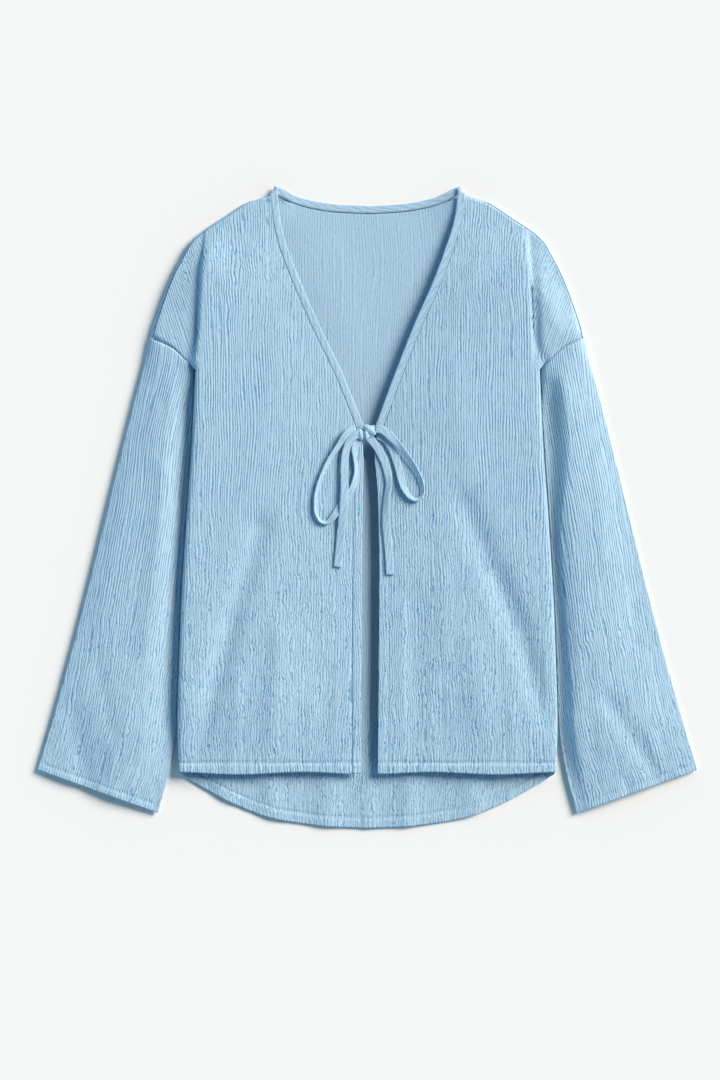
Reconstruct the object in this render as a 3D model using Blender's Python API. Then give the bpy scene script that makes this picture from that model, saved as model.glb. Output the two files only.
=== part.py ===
"""Tie-front kimono jacket in crinkled cloth, laid flat with its front up.

The jacket lies on the surface z = 0 with its collar toward +Y. The back lies flat, the two
fronts arch over it, and each sleeve is a flattened tube beside the body. Every panel is a
thin wall: one face follows the cloth's crinkle and the other is plain. Sizes are in
millimetres up to the point where a mesh is made. Left and right are as seen from above.
"""

import math

import bmesh
import bpy
import numpy as np

OBJECT_NAME = "kimono_jacket"
MM = 0.001

# Cloth
WALL = 1.9
SEAM_GAP = 0.3
BAND_WIDTH = 9.0
BAND_THICKNESS = 2.6
TIE_WIDTH = 9.4
TIE_THICKNESS = 2.0
FRONT_HEM_TURN = 13.0
EDGE_TURN = 10.5
TURN_RISE = 0.7
TURN_STEP = 2.0

# Crinkle: half the height between a ridge's top and the valley beside it
FRONT_CRINKLE = 0.8
SLEEVE_CRINKLE = 0.8
BACK_CRINKLE = 0.6
SIDE_CRINKLE_SHARE = 0.25
RIM_CRINKLE_SHARE = 0.6

# Body heights above the surface
SIDE_SEAM_Z = 8.0
SHOULDER_SEAM_Z = 9.0
CREST_Z = 17.0
CHEST_RISE = 2.5
HEM_Z = 11.0
HEM_FOLD_SHARE = 0.35
FRONT_EDGE_Z = 10.5
SIDE_CURL = 11.0
CURL_POWER = 2.2
NECK_RAISE = 3.3
NECK_RAISE_X = 110.0
NECK_RAISE_WIDTH = 26.0
NECK_RAISE_LENGTH = 45.0
SLEEVE_TOP_Z = 15.0
CUFF_TOP_Z = 12.0
SLEEVE_EDGE_Z = 5.0

# Levels along the length, from the middle of the jacket's length
HEM_Y = -308.0
UNDERARM_Y = 161.0
NECK_TOP_Y = 310.0

# Lengths over which the cloth's form changes
HEM_REACH = 60.0
HEM_FLATTENS = 90.0
EDGE_RISES_FROM = 60.0
EDGE_RISES_OVER = 80.0
DROP_WIDTH = 13.0
HEM_SWING = 1.6
HEM_WAVE = 1.4
HEM_WAVE_LENGTH = 24.0

# Half widths and edges. Each table's rows run from the hem up, or from the arm to the neck.
SIDE_EDGE = (
    # y, x
    (-311.0, 220.0),
    (-250.0, 221.8),
    (-170.0, 219.5),
    (-100.0, 216.7),
    (-10.0, 211.0),
    (70.0, 205.3),
    (161.0, 201.0),
)
CREST = (
    # y, x
    (-311.0, 207.0),
    (-170.0, 206.0),
    (-10.0, 198.0),
    (70.0, 192.5),
    (161.0, 189.0),
    (235.0, 186.0),
    (333.0, 181.0),
)
ARMHOLE = (
    # x, y
    (201.0, 161.0),
    (224.0, 184.0),
    (240.0, 193.0),
    (254.0, 199.0),
)
SHOULDER = (
    # x, y
    (254.0, 199.0),
    (248.6, 220.0),
    (231.5, 266.8),
    (215.0, 299.5),
    (206.0, 313.6),
    (189.5, 327.6),
    (168.0, 341.6),
    (147.0, 355.7),
    (130.5, 362.7),
    (114.5, 368.0),
)
FRONT_EDGE = {
    "left": (
        # y, x
        (-311.0, 7.6),
        (-97.0, 7.0),
        (7.0, 5.6),
        (72.0, 5.4),
        (96.0, 14.6),
        (155.6, 38.6),
        (217.6, 68.4),
        (282.0, 95.4),
        (321.8, 108.2),
        (365.0, 114.5),
    ),
    "right": (
        # y, x
        (-311.0, 12.0),
        (-97.0, 13.5),
        (7.0, 12.3),
        (70.0, 8.4),
        (99.5, 20.5),
        (147.4, 38.0),
        (207.0, 61.4),
        (263.3, 86.0),
        (303.0, 100.5),
        (336.0, 110.5),
        (365.0, 114.5),
    ),
}
BACK_HEM = (
    # x, y
    (0.0, -374.5),
    (52.0, -372.0),
    (104.0, -364.5),
    (130.0, -357.0),
    (161.0, -344.0),
    (187.0, -330.0),
    (209.0, -317.5),
    (220.0, -311.0),
)
NECK_SEAM = (
    # x, y
    (0.0, 343.5),
    (42.7, 346.0),
    (73.0, 351.5),
    (92.0, 358.0),
    (104.0, 364.5),
)
SLEEVE_OUTER = (
    # x, y
    (254.6, 198.0),
    (259.8, 173.0),
    (272.0, 126.0),
    (301.2, 9.4),
    (330.0, -107.6),
    (361.5, -224.6),
    (385.5, -306.0),
)
SLEEVE_INNER = (
    # x, y
    (203.0, 159.5),
    (207.6, 70.0),
    (213.0, -10.0),
    (218.6, -100.0),
    (221.6, -170.0),
    (224.2, -250.0),
    (227.5, -282.0),
    (234.0, -316.0),
    (245.0, -356.5),
)

# How the cloth lies at each side: the wing is the dropped shoulder outside the body's fold.
SIDES = {
    "left": {"sign": -1.0, "wing_z": 11.5, "valley": 0.0, "neck_edge_z": 11.0},
    "right": {"sign": 1.0, "wing_z": 14.0, "valley": 3.0, "neck_edge_z": 13.0},
}

# Largest soft folds: a trough has a negative height. Places are the ends of its middle line.
FRONT_FOLDS = {
    "left": (
        # x1, y1, x2, y2, half width, height
        (78.0, -60.0, 136.0, -230.0, 18.0, -3.5),
        (136.0, -230.0, 155.0, -306.0, 16.0, -3.0),
        (60.0, -180.0, 52.0, -306.0, 17.0, 2.0),
        (150.0, 90.0, 120.0, -40.0, 20.0, -2.0),
        (165.0, 60.0, 185.0, -150.0, 13.0, 1.6),
        (95.0, 200.0, 130.0, 60.0, 16.0, 1.4),
    ),
    "right": (
        # x1, y1, x2, y2, half width, height
        (118.0, -60.0, 178.0, -200.0, 17.0, -3.4),
        (178.0, -200.0, 205.0, -300.0, 14.0, -2.6),
        (50.0, -110.0, 56.0, -290.0, 18.0, -2.4),
        (120.0, -170.0, 128.0, -306.0, 16.0, 2.0),
        (150.0, 120.0, 160.0, -30.0, 18.0, -1.8),
        (90.0, 190.0, 116.0, 40.0, 16.0, 1.4),
    ),
}
SLEEVE_FOLDS = {
    "left": (
        # x1, y1, x2, y2, half width, height
        (254.0, 33.0, 278.0, -166.0, 14.0, -3.0),
        (236.0, 40.0, 246.0, -180.0, 9.0, 1.2),
        (345.0, -240.0, 330.0, -322.0, 13.0, -2.0),
    ),
    "right": (
        # x1, y1, x2, y2, half width, height
        (225.0, 68.0, 238.0, -120.0, 11.0, -2.6),
        (280.0, -225.0, 346.0, -322.0, 11.0, -2.2),
        (300.0, 40.0, 318.0, -160.0, 15.0, -1.6),
    ),
}

# Shares of the armhole over which the wing opens out and from which it sinks to the shoulder
WING_OPENS = 0.3
WING_SINKS_FROM = 0.55
# Shares of the wing's width: its rounded rim, and the valley beside the body's fold
WING_RIM_SHARE = 0.4
WING_VALLEY_SHARE = 0.74
WING_VALLEY_WIDTH = 0.14

# Grid sizes
WING_COLUMNS = 5
DROP_COLUMNS = 4
FRONT_COLUMNS = 32
UPPER_ROWS = 8
SLEEVE_ROWS = 17
ARMHOLE_EASE = 0.2
CUFF_FROM = 0.82
SLEEVE_TOP_COLUMNS = 26
SHOULDER_COLUMNS = 8
NECK_COLUMNS = 18
BACK_LOWER_ROWS = 9
BACK_UPPER_ROWS = 6
PLAIN_STEP = 3
# Shares of the back's length at which its turned hem starts and ends
BACK_HEM_LEVELS = (0.0, 0.024, 0.03)
# Levels of the front's rows between its turned hem and the underarm, closer at the knot
FRONT_LEVELS = (-252.0, -212.0, -172.0, -132.0, -92.0, -52.0, -14.0, 22.0, 52.0, 76.0, 101.0, 129.0)

# Share of the armhole over which the back's curled side flattens out
CURL_FLATTENS = 0.25

# The sleeve's rounded edge, in shares of its width, and its underside from inner to outer edge
SLEEVE_EDGE_SHARES = (0.0, 0.012, 0.04, 0.08)
SLEEVE_UNDERSIDE = (
    # share of width, share of the edge's height
    (0.988, 0.42),
    (0.962, 0.1),
    (0.93, 0.0),
    (0.5, 0.0),
    (0.07, 0.0),
    (0.038, 0.1),
    (0.012, 0.42),
)
# The back's rolled shoulder, outward from the silhouette, and how steeply it has turned over
SHOULDER_ROLL = (
    # outward, z, turn in degrees, outward at the flat neck
    (-9.0, 0.0, 0.0, -9.0),
    (-4.6, 0.6, 20.0, -7.2),
    (-1.3, 2.5, 55.0, -5.4),
    (0.0, 5.0, 90.0, -3.6),
    (-0.9, 7.5, 130.0, -1.8),
    (-3.0, 9.0, 180.0, 0.0),
)
BACK_EDGE_INSETS = (0.0, 2.6, 6.2, 11.0)
SHOULDER_LENGTH = 230.0
NECK_END_OUTWARD = (0.3, 0.954)
NECK_END_ROLL = 0.25
NECK_SHARE = 0.5

# Knot and ties. A tie rests on the front, and lift raises it above that where it passes over.
KNOT = {"x": -2.5, "y": 88.5, "width": 21.0, "length": 17.0, "height": 9.5, "base_z": 11.7}
KNOT_ROUNDNESS = 0.72
KNOT_WAIST = 0.12
TIE_REST = 0.5
TIE_ROUTES = {
    "tie_loop_left": (
        # x, y, lift, tilt
        (-13.9, 91.4, 3.2, 0.0),
        (-19.5, 90.2, 3.4, 10.0),
        (-26.5, 83.0, 3.4, 25.0),
        (-34.0, 72.0, 1.6, 42.0),
        (-47.0, 51.5, 0.4, 50.0),
        (-57.9, 24.6, 0.2, 55.0),
        (-60.8, 2.0, 0.2, 58.0),
        (-56.9, -13.0, 0.2, 60.0),
        (-48.2, -17.2, 0.2, 58.0),
        (-40.5, -11.0, 0.2, 32.0),
        (-32.0, 1.0, 0.1, 8.0),
        (-22.0, 15.0, 0.1, 0.0),
        (-16.6, 34.0, 0.1, 0.0),
        (-15.8, 52.0, 0.1, 0.0),
        (-16.6, 62.0, 0.1, 0.0),
        (-16.9, 72.0, 0.1, 0.0),
    ),
    "tie_loop_right": (
        # x, y, lift, tilt
        (9.1, 92.0, 4.4, 0.0),
        (17.0, 91.0, 4.6, 0.0),
        (27.5, 82.6, 4.2, 0.0),
        (40.6, 67.6, 2.4, -35.0),
        (53.0, 50.7, 0.6, -48.0),
        (62.6, 31.9, 0.2, -55.0),
        (64.4, 17.0, 0.2, -58.0),
        (57.6, 9.6, 0.2, -58.0),
        (48.2, 14.0, 0.2, -50.0),
        (41.2, 26.9, 0.2, -30.0),
        (36.7, 45.7, 0.2, -8.0),
        (30.7, 63.6, 0.2, 0.0),
        (22.5, 78.5, 0.2, 0.0),
        (11.8, 84.6, 0.2, 0.0),
    ),
    "tie_tail_left": (
        # x, y, lift, tilt
        (-10.5, 77.5, 3.4, 0.0),
        (-20.5, 74.0, 3.4, 0.0),
        (-26.2, 62.2, 2.8, 0.0),
        (-27.3, 40.0, 3.4, 0.0),
        (-25.4, 14.4, 4.4, 0.0),
        (-26.8, -8.0, 4.2, 0.0),
        (-31.0, -37.8, 1.2, 0.0),
        (-34.7, -69.0, 0.1, 0.0),
    ),
    "tie_tail_right": (
        # x, y, lift, tilt
        (5.4, 76.6, 0.6, 0.0),
        (11.6, 69.0, 0.4, 0.0),
        (18.0, 58.2, 0.1, 0.0),
        (22.4, 45.6, 0.1, 0.0),
        (24.9, 27.8, 0.1, 0.0),
        (22.0, 9.9, 0.1, 0.0),
        (21.6, -15.4, 0.1, 0.0),
        (24.2, -45.3, 0.1, 0.0),
        (26.3, -78.0, 0.1, 0.0),
    ),
}
ROUTE_STEP = 7.5
BAND_START_Y = 92.5
BAND_TOP_Y = 374.5
BAND_END_SHARE = 0.72
BACK_BAND_GAP = 0.8
STRIP_CORNER = 0.7

# Colours, linear
SKY_BLUE = (0.41, 0.60, 0.78, 1.0)
DEEP_SKY_BLUE = (0.38, 0.57, 0.76, 1.0)
BAND_BLUE = (0.43, 0.62, 0.80, 1.0)


# Curves through table rows

def smooth_path(points, steps):
    """Points along a smooth curve through the given ones, with steps spans between two of them."""
    points = np.asarray(points, dtype=float)
    before = 2.0 * points[0] - points[1]
    after = 2.0 * points[-1] - points[-2]
    ends = np.vstack((before, points, after))
    path = []
    for k in range(1, len(ends) - 2):
        for step in range(steps):
            t = step / steps
            span = ends[k + 1] - ends[k - 1]
            next_span = ends[k + 2] - ends[k]
            path.append(
                ends[k]
                + 0.5 * span * t
                + (3.0 * (ends[k + 1] - ends[k]) - span - 0.5 * next_span) * t * t
                + (2.0 * (ends[k] - ends[k + 1]) + 0.5 * span + 0.5 * next_span) * t ** 3
            )
    path.append(points[-1])
    return np.array(path)


def along(points, shares, steps=12):
    """Points at the given shares of a smooth curve's length."""
    path = smooth_path(points, steps)
    lengths = np.concatenate(([0.0], np.cumsum(np.linalg.norm(np.diff(path, axis=0), axis=1))))
    wanted = np.asarray(shares) * lengths[-1]
    columns = [np.interp(wanted, lengths, path[:, axis]) for axis in range(path.shape[1])]
    return np.stack(columns, axis=-1)


def read_table(table, key, steps=12):
    """The second column of a smooth curve through a two-column table, at key in the first."""
    path = smooth_path(table, steps)
    return float(np.interp(key, path[:, 0], path[:, 1]))


def ease(value):
    """A soft step from 0 to 1."""
    value = min(max(value, 0.0), 1.0)
    return value * value * (3.0 - 2.0 * value)


def mix(first, second, share):
    return first + (second - first) * share


# Heights of the cloth

def fold_height(folds, x, y):
    """Sum of the soft folds at a place, each fading out toward its ends."""
    total = 0.0
    for x1, y1, x2, y2, half_width, height in folds:
        run = (x2 - x1, y2 - y1)
        length = math.hypot(*run)
        share = ((x - x1) * run[0] + (y - y1) * run[1]) / (length * length)
        nearest = min(max(share, 0.0), 1.0)
        away = math.hypot(x - x1 - nearest * run[0], y - y1 - nearest * run[1])
        total += height * math.exp(-(away / half_width) ** 2)
    return total


def crinkle(column, row, height):
    """Height of a ridge or valley at a grid point, uneven from one to the next."""
    uneven = 0.62 + 0.38 * math.sin(1.9 * column + 0.8 * row) * math.cos(0.7 * column - 1.4 * row)
    return height * uneven * (1.0 if column % 2 else -1.0)


def edge_z(side, y):
    """Height of the front's own edge: low beside the opening, higher along the neck."""
    return mix(FRONT_EDGE_Z, SIDES[side]["neck_edge_z"], ease((y - EDGE_RISES_FROM) / EDGE_RISES_OVER))


def front_z(side, share, x, y):
    """Height of the front over the body, at a share of the way from its crest to its edge."""
    drop = ease((share - 0.5) / 0.5)
    z = mix(CREST_Z, edge_z(side, y), drop) + CHEST_RISE * math.sin(math.pi * share)
    z += fold_height(FRONT_FOLDS[side], x, y) * math.sin(math.pi * min(share + 0.15, 1.0)) ** 0.5
    near_hem = 1.0 - ease((y - HEM_Y) / HEM_FLATTENS)
    return mix(z, HEM_Z + HEM_FOLD_SHARE * (z - CREST_Z), near_hem)


def front_z_at(x, y):
    """Height of the smooth front below the underarm, at any place on it."""
    side = "left" if x < 0.0 else "right"
    edge = read_table(FRONT_EDGE[side], y)
    crest = read_table(CREST, y)
    share = min(max((crest - abs(x)) / (crest - edge), 0.0), 1.0)
    return front_z(side, share, abs(x), y)


def tube_z(share, edge, top):
    """Height of a flattened tube's upper side, at a share of its width."""
    return edge + (top - edge) * math.sqrt(max(0.0, 1.0 - abs(2.0 * share - 1.0) ** 4))


# Meshes

def material(name, colour, roughness):
    result = bpy.data.materials.new(name)
    result.use_nodes = True
    shader = result.node_tree.nodes["Principled BSDF"]
    shader.inputs["Base Color"].default_value = colour
    shader.inputs["Roughness"].default_value = roughness
    shader.inputs["Metallic"].default_value = 0.0
    return result


def collection(name):
    result = bpy.data.collections.new(name)
    bpy.context.scene.collection.children.link(result)
    return result


def finish_mesh(name, mesh, finish, owner):
    """An object from a closed bmesh in millimetres."""
    bmesh.ops.scale(mesh, vec=(MM, MM, MM), verts=mesh.verts)
    bmesh.ops.recalc_face_normals(mesh, faces=mesh.faces)
    data = bpy.data.meshes.new(name)
    mesh.to_mesh(data)
    mesh.free()
    data.shade_smooth()
    data.materials.append(finish)
    result = bpy.data.objects.new(name, data)
    owner.objects.link(result)
    return result


def wall(name, ridged, plain, kept, finish, owner, tube=False):
    """A closed wall between a ridged grid and a plain one that keeps only some of its columns.

    The grids are lists of rows. A tube's columns close round on themselves.
    """
    mesh = bmesh.new()
    outer = [[mesh.verts.new(point) for point in row] for row in ridged]
    inner = [[mesh.verts.new(row[column]) for column in kept] for row in plain]
    rows = len(outer)
    columns = len(outer[0])
    spans = [(kept[k], kept[k + 1], k, k + 1) for k in range(len(kept) - 1)]
    if tube:
        spans.append((kept[-1], columns, len(kept) - 1, 0))
    last = columns if tube else columns - 1
    for row in range(rows - 1):
        for column in range(last):
            after = (column + 1) % columns
            mesh.faces.new((outer[row][column], outer[row][after],
                            outer[row + 1][after], outer[row + 1][column]))
        for _, _, k, after in spans:
            mesh.faces.new((inner[row][after], inner[row][k],
                            inner[row + 1][k], inner[row + 1][after]))
    for row in (0, rows - 1):
        for start, stop, k, after in spans:
            rim = [outer[row][column % columns] for column in range(start, stop + 1)]
            face = rim + [inner[row][after], inner[row][k]]
            mesh.faces.new(face if row else face[::-1])
    if not tube:
        for column, k in ((0, 0), (columns - 1, len(kept) - 1)):
            for row in range(rows - 1):
                face = (outer[row][column], outer[row + 1][column],
                        inner[row + 1][k], inner[row][k])
                mesh.faces.new(face if column else face[::-1])
    bmesh.ops.triangulate(mesh, faces=mesh.faces, quad_method="BEAUTY", ngon_method="EAR_CLIP")
    return finish_mesh(name, mesh, finish, owner)


def grid_normals(grid):
    """Unit normals of a smooth grid of points, one for each point."""
    down = np.gradient(grid, axis=0)
    across = np.gradient(grid, axis=1)
    normals = np.cross(across, down)
    return normals / np.maximum(np.linalg.norm(normals, axis=2, keepdims=True), 1e-9)


# Front panels

def coons(bottom, top, left, right):
    """A grid between four edges: rows run from bottom to top, columns from left to right."""
    rows = len(left)
    columns = len(bottom)
    r = np.linspace(0.0, 1.0, rows)[:, None, None]
    c = np.linspace(0.0, 1.0, columns)[None, :, None]
    ruled = (1 - r) * bottom[None] + r * top[None] + (1 - c) * left[:, None] + c * right[:, None]
    corners = (
        (1 - r) * (1 - c) * bottom[0] + (1 - r) * c * bottom[-1]
        + r * (1 - c) * top[0] + r * c * top[-1]
    )
    return ruled - corners


def shoulder_shares():
    """Shares of the shoulder's length at which both panels have a corner of their seam."""
    shares = [inset / SHOULDER_LENGTH for inset in BACK_EDGE_INSETS]
    return shares + list(np.linspace(shares[-1], 1.0, SHOULDER_COLUMNS + 1)[1:])


def shoulder_seam(shares):
    """Places on the front's side of the shoulder seam, on straight runs between its corners."""
    corners = shoulder_shares()
    inset = SHOULDER_ROLL[-1][0] - SEAM_GAP
    points = along(SHOULDER, corners) + inset * shoulder_outward(corners)
    return np.stack([np.interp(shares, corners, points[:, axis]) for axis in range(2)], axis=-1)


def outward_of(table, shares):
    """Unit normals that point away from the body, along a path that runs from arm to neck."""
    ahead = along(table, np.minimum(np.asarray(shares) + 0.004, 1.0))
    behind = along(table, np.maximum(np.asarray(shares) - 0.004, 0.0))
    run = ahead - behind
    normals = np.stack((run[:, 1], -run[:, 0]), axis=-1)
    return normals / np.linalg.norm(normals, axis=1, keepdims=True)


def shoulder_outward(corners):
    """The way out of the body at each corner of the shoulder seam."""
    outward = outward_of(SHOULDER, corners)
    outward[-1] = NECK_END_OUTWARD
    return outward


def crest_share():
    """Share of the shoulder's length at which the body's fold reaches it."""
    shares = np.linspace(0.0, 1.0, 200)
    points = along(SHOULDER, shares)
    return float(np.interp(-CREST[-1][1], -points[:, 0], shares))


def row_levels():
    """Heights along the length of the front's rows below the underarm, closer at the hem."""
    hem = [HEM_Y, HEM_Y + FRONT_HEM_TURN, HEM_Y + FRONT_HEM_TURN + TURN_STEP]
    return np.array([*hem, *FRONT_LEVELS, UNDERARM_Y])


def hem_wave(x):
    """How far the front's hem swings below its level."""
    return -HEM_SWING - HEM_WAVE * math.cos(x / HEM_WAVE_LENGTH) * ease(x / 30.0)


def wing_columns(width):
    """Shares across the wing and over the fold's drop, and heights over the drop."""
    drop_from = max(0.0, 1.0 - DROP_WIDTH / width)
    places = []
    for k in range(WING_COLUMNS + 1):
        places.append((drop_from * k / WING_COLUMNS, 0.0))
    for k in range(1, DROP_COLUMNS + 1):
        angle = 0.5 * math.pi * k / DROP_COLUMNS
        places.append((mix(drop_from, 1.0, 1.0 - math.cos(angle)), math.sin(angle)))
    return places


def side_columns():
    """Shares and heights round the body's side, evenly over a quarter turn."""
    count = WING_COLUMNS + DROP_COLUMNS
    angles = [0.5 * math.pi * k / count for k in range(count + 1)]
    return [(1.0 - math.cos(angle), math.sin(angle)) for angle in angles]


def front_lower_rows(side):
    """Smooth points from hem to underarm, from the side seam over the crest to the front edge."""
    rows = []
    for y in row_levels():
        seam = read_table(SIDE_EDGE, y)
        crest = read_table(CREST, y)
        edge = read_table(FRONT_EDGE[side], y)
        low = 1.0 - ease((y - HEM_Y) / HEM_REACH)
        base = SIDE_SEAM_Z + SEAM_GAP
        row = []
        for across, up in side_columns()[:-1]:
            x = mix(seam, crest, across)
            level = y + low * hem_wave(x)
            row.append((x, level, mix(base, front_z(side, 0.0, crest, y), up)))
        for k in range(FRONT_COLUMNS + 1):
            share = k / FRONT_COLUMNS
            x = mix(crest, edge, share)
            row.append((x, y + low * hem_wave(x), front_z(side, share, x, y)))
        rows.append(row)
    return rows


def front_upper_rows(side, lower_top):
    """Smooth points from the underarm to the shoulder seam, above the rows below it."""
    at_crest = crest_share()
    count = UPPER_ROWS + 1
    wing_count = WING_COLUMNS + DROP_COLUMNS
    crest_end = shoulder_seam([at_crest])[0]
    levels = np.linspace(UNDERARM_Y, crest_end[1], count)
    crest = np.array([(read_table(CREST, y), y) for y in levels])
    crest[-1] = crest_end
    neck_end = shoulder_seam([1.0])[0]
    neck_levels = np.linspace(UNDERARM_Y, neck_end[1], count)
    neck = np.array([(read_table(FRONT_EDGE[side], y), y) for y in neck_levels])
    neck[-1] = neck_end
    armhole = along(ARMHOLE, np.linspace(0.0, 1.0, count))
    armhole[:, 0] -= SEAM_GAP
    tip = shoulder_seam([0.0])[0]
    armhole[-1] = tip
    start = np.array([point[:2] for point in lower_top])
    wing_top = shoulder_seam(np.linspace(0.0, at_crest, wing_count + 1))
    body_top = shoulder_seam(np.linspace(at_crest, 1.0, FRONT_COLUMNS + 1))
    wing = coons(start[:wing_count + 1], wing_top, armhole, crest)
    body = coons(start[wing_count:], body_top, crest, neck)
    return wing, body


def wing_weight(row):
    """How far the wing has opened out at a row, counted up from the underarm."""
    return ease(row / UPPER_ROWS / WING_OPENS)


def wing_z(side, share, up, row_share):
    """Height of the dropped shoulder outside the body's fold."""
    sizes = SIDES[side]
    sinks = ease((row_share - WING_SINKS_FROM) / (1.0 - WING_SINKS_FROM))
    flat = mix(sizes["wing_z"], SHOULDER_SEAM_Z, sinks)
    rim = tube_z(row_share, SIDE_SEAM_Z + SEAM_GAP, sizes["wing_z"])
    base = mix(rim, flat, ease(share / WING_RIM_SHARE))
    top = mix(CREST_Z, SHOULDER_SEAM_Z, sinks)
    across = (share - WING_VALLEY_SHARE) / WING_VALLEY_WIDTH
    valley = sizes["valley"] * math.exp(-across ** 2) * (1.0 - row_share ** 2)
    return mix(base, top, up) - valley


def front_grid(side):
    """The front's smooth grid, from hem to shoulder and from side to front edge."""
    rows = front_lower_rows(side)
    wing, body = front_upper_rows(side, rows[-1])
    wing_count = WING_COLUMNS + DROP_COLUMNS
    for r in range(1, UPPER_ROWS + 1):
        share_up = r / UPPER_ROWS
        opened = wing_weight(r)
        width = float(np.linalg.norm(wing[r][0] - wing[r][-1]))
        open_places = wing_columns(width)
        row = []
        for k, (across, up) in enumerate(side_columns()[:-1]):
            share = mix(across, open_places[k][0], opened)
            height = mix(up, open_places[k][1], opened)
            place = along_row(wing[r], share)
            z = wing_z(side, share, height, share_up)
            side_z = mix(SIDE_SEAM_Z + SEAM_GAP, CREST_Z, up)
            row.append((place[0], place[1], mix(side_z, z, opened)))
        near_seam = ease((share_up - 0.5) / 0.5)
        for k in range(FRONT_COLUMNS + 1):
            share = k / FRONT_COLUMNS
            x, y = body[r][k]
            z = mix(front_z(side, share, x, y), SHOULDER_SEAM_Z, near_seam)
            row.append((x, y, z))
        rows.append(row)
    return np.array(rows), wing_count


def along_row(row, share):
    """The place at a share of the way along a row's points."""
    place = share * (len(row) - 1)
    k = min(int(place), len(row) - 2)
    return mix(row[k], row[k + 1], place - k)


def front_panel(side, smooth, finish, owner):
    """A front as a wall with its crinkle on the outside, its hem and its edge turned in."""
    grid, wing_count = smooth
    rows, columns = grid.shape[:2]
    underarm = len(row_levels()) - 1
    normals = grid_normals(grid)
    normals[normals[:, :, 2] < 0.0] *= -1.0
    normals[0, :, 1] = 0.0
    normals[0] /= np.linalg.norm(normals[0], axis=1, keepdims=True)
    plain = grid - WALL * normals
    below = (0.0, 0.0, WALL)
    plain[:, -1] = grid[:, -1] - below
    plain[-1] = grid[-1] - below
    plain[underarm + 1:, 0] = grid[underarm + 1:, 0] - below
    for r in range(rows):
        opened = wing_weight(r - underarm)
        for c, (across, up) in enumerate(side_columns()[:-1]):
            x, y, z = grid[r, 0]
            crest = grid[r, wing_count]
            turned_in = (mix(x - WALL, crest[0], across), mix(y, crest[1], across),
                         z + (crest[2] - z - WALL) * up)
            plain[r, c] = mix(np.array(turned_in), plain[r, c], opened)
    plain[0, :, 1] = grid[0, :, 1]
    ridged = grid.copy()
    for r in range(rows):
        for c in range(1, columns - 1):
            amount = SIDE_CRINKLE_SHARE if c <= wing_count and r <= underarm else 1.0
            amount *= RIM_CRINKLE_SHARE if r in (0, rows - 1) else 1.0
            beside_edge = grid[r, c, 1] < KNOT["y"] and grid[r, c, 0] - grid[r, -1, 0] < EDGE_TURN
            turned = c > wing_count and (r <= 1 or beside_edge)
            lift = amount * crinkle(c, r, FRONT_CRINKLE) + (TURN_RISE if turned else 0.0)
            ridged[r, c] += lift * normals[r, c]
    kept = list(range(0, wing_count + 1, 2))
    kept += list(range(wing_count + 2, columns - 1, PLAIN_STEP))
    kept.append(columns - 1)
    sign = SIDES[side]["sign"]
    ridged[:, :, 0] *= sign
    plain[:, :, 0] *= sign
    return wall("front_panel_" + side, ridged, plain, kept, finish, owner)


# Back panel

def neck_raise(x, y):
    """How far the back rises off the surface toward the ends of its neck."""
    across = (abs(x) - NECK_RAISE_X) / NECK_RAISE_WIDTH
    return NECK_RAISE * math.exp(-across ** 2) * ease((y - NECK_TOP_Y) / NECK_RAISE_LENGTH)


def back_shares():
    """Shares of the half width at which the back's columns start, from its side to its middle."""
    half_width = SIDE_EDGE[-1][1]
    edge = [1.0 - inset / half_width for inset in BACK_EDGE_INSETS]
    shoulder = list(np.linspace(edge[-1], NECK_SHARE, SHOULDER_COLUMNS + 1)[1:])
    neck = list(np.linspace(NECK_SHARE, 0.0, NECK_COLUMNS // 2 + 1)[1:])
    return edge + shoulder + neck


def back_levels():
    """Shares of the way from hem to underarm of the back's rows, closer at its turned hem."""
    return list(BACK_HEM_LEVELS) + list(np.linspace(BACK_HEM_LEVELS[-1], 1.0, BACK_LOWER_ROWS)[1:])


def back_lower_rows():
    """The right half of the back's underside from hem to underarm, curled up at its side."""
    rows = []
    for level in back_levels():
        row = []
        for share in back_shares():
            side = read_table(SIDE_EDGE, mix(SIDE_EDGE[0][0], UNDERARM_Y, level))
            x = side * share
            y = mix(read_table(BACK_HEM, x), UNDERARM_Y, level)
            curl = SIDE_SEAM_Z * max(0.0, 1.0 - (side - x) / SIDE_CURL) ** CURL_POWER
            row.append((x, y, curl))
        rows.append(row)
    return rows


def back_top():
    """Places round the top of the back's right half, the way out of each, and how far it rolls."""
    shares = shoulder_shares()
    shoulder = along(SHOULDER, shares)
    outward = shoulder_outward(shares)
    neck = along(NECK_SEAM[::-1], np.linspace(0.0, 1.0, NECK_COLUMNS // 2 + 1)[1:])
    neck_outward = np.tile((0.0, 1.0), (len(neck), 1))
    rolled = [1.0] * (len(shares) - 1) + [NECK_END_ROLL] + [0.0] * len(neck)
    return np.vstack((shoulder, neck)), np.vstack((outward, neck_outward)), rolled


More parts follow.
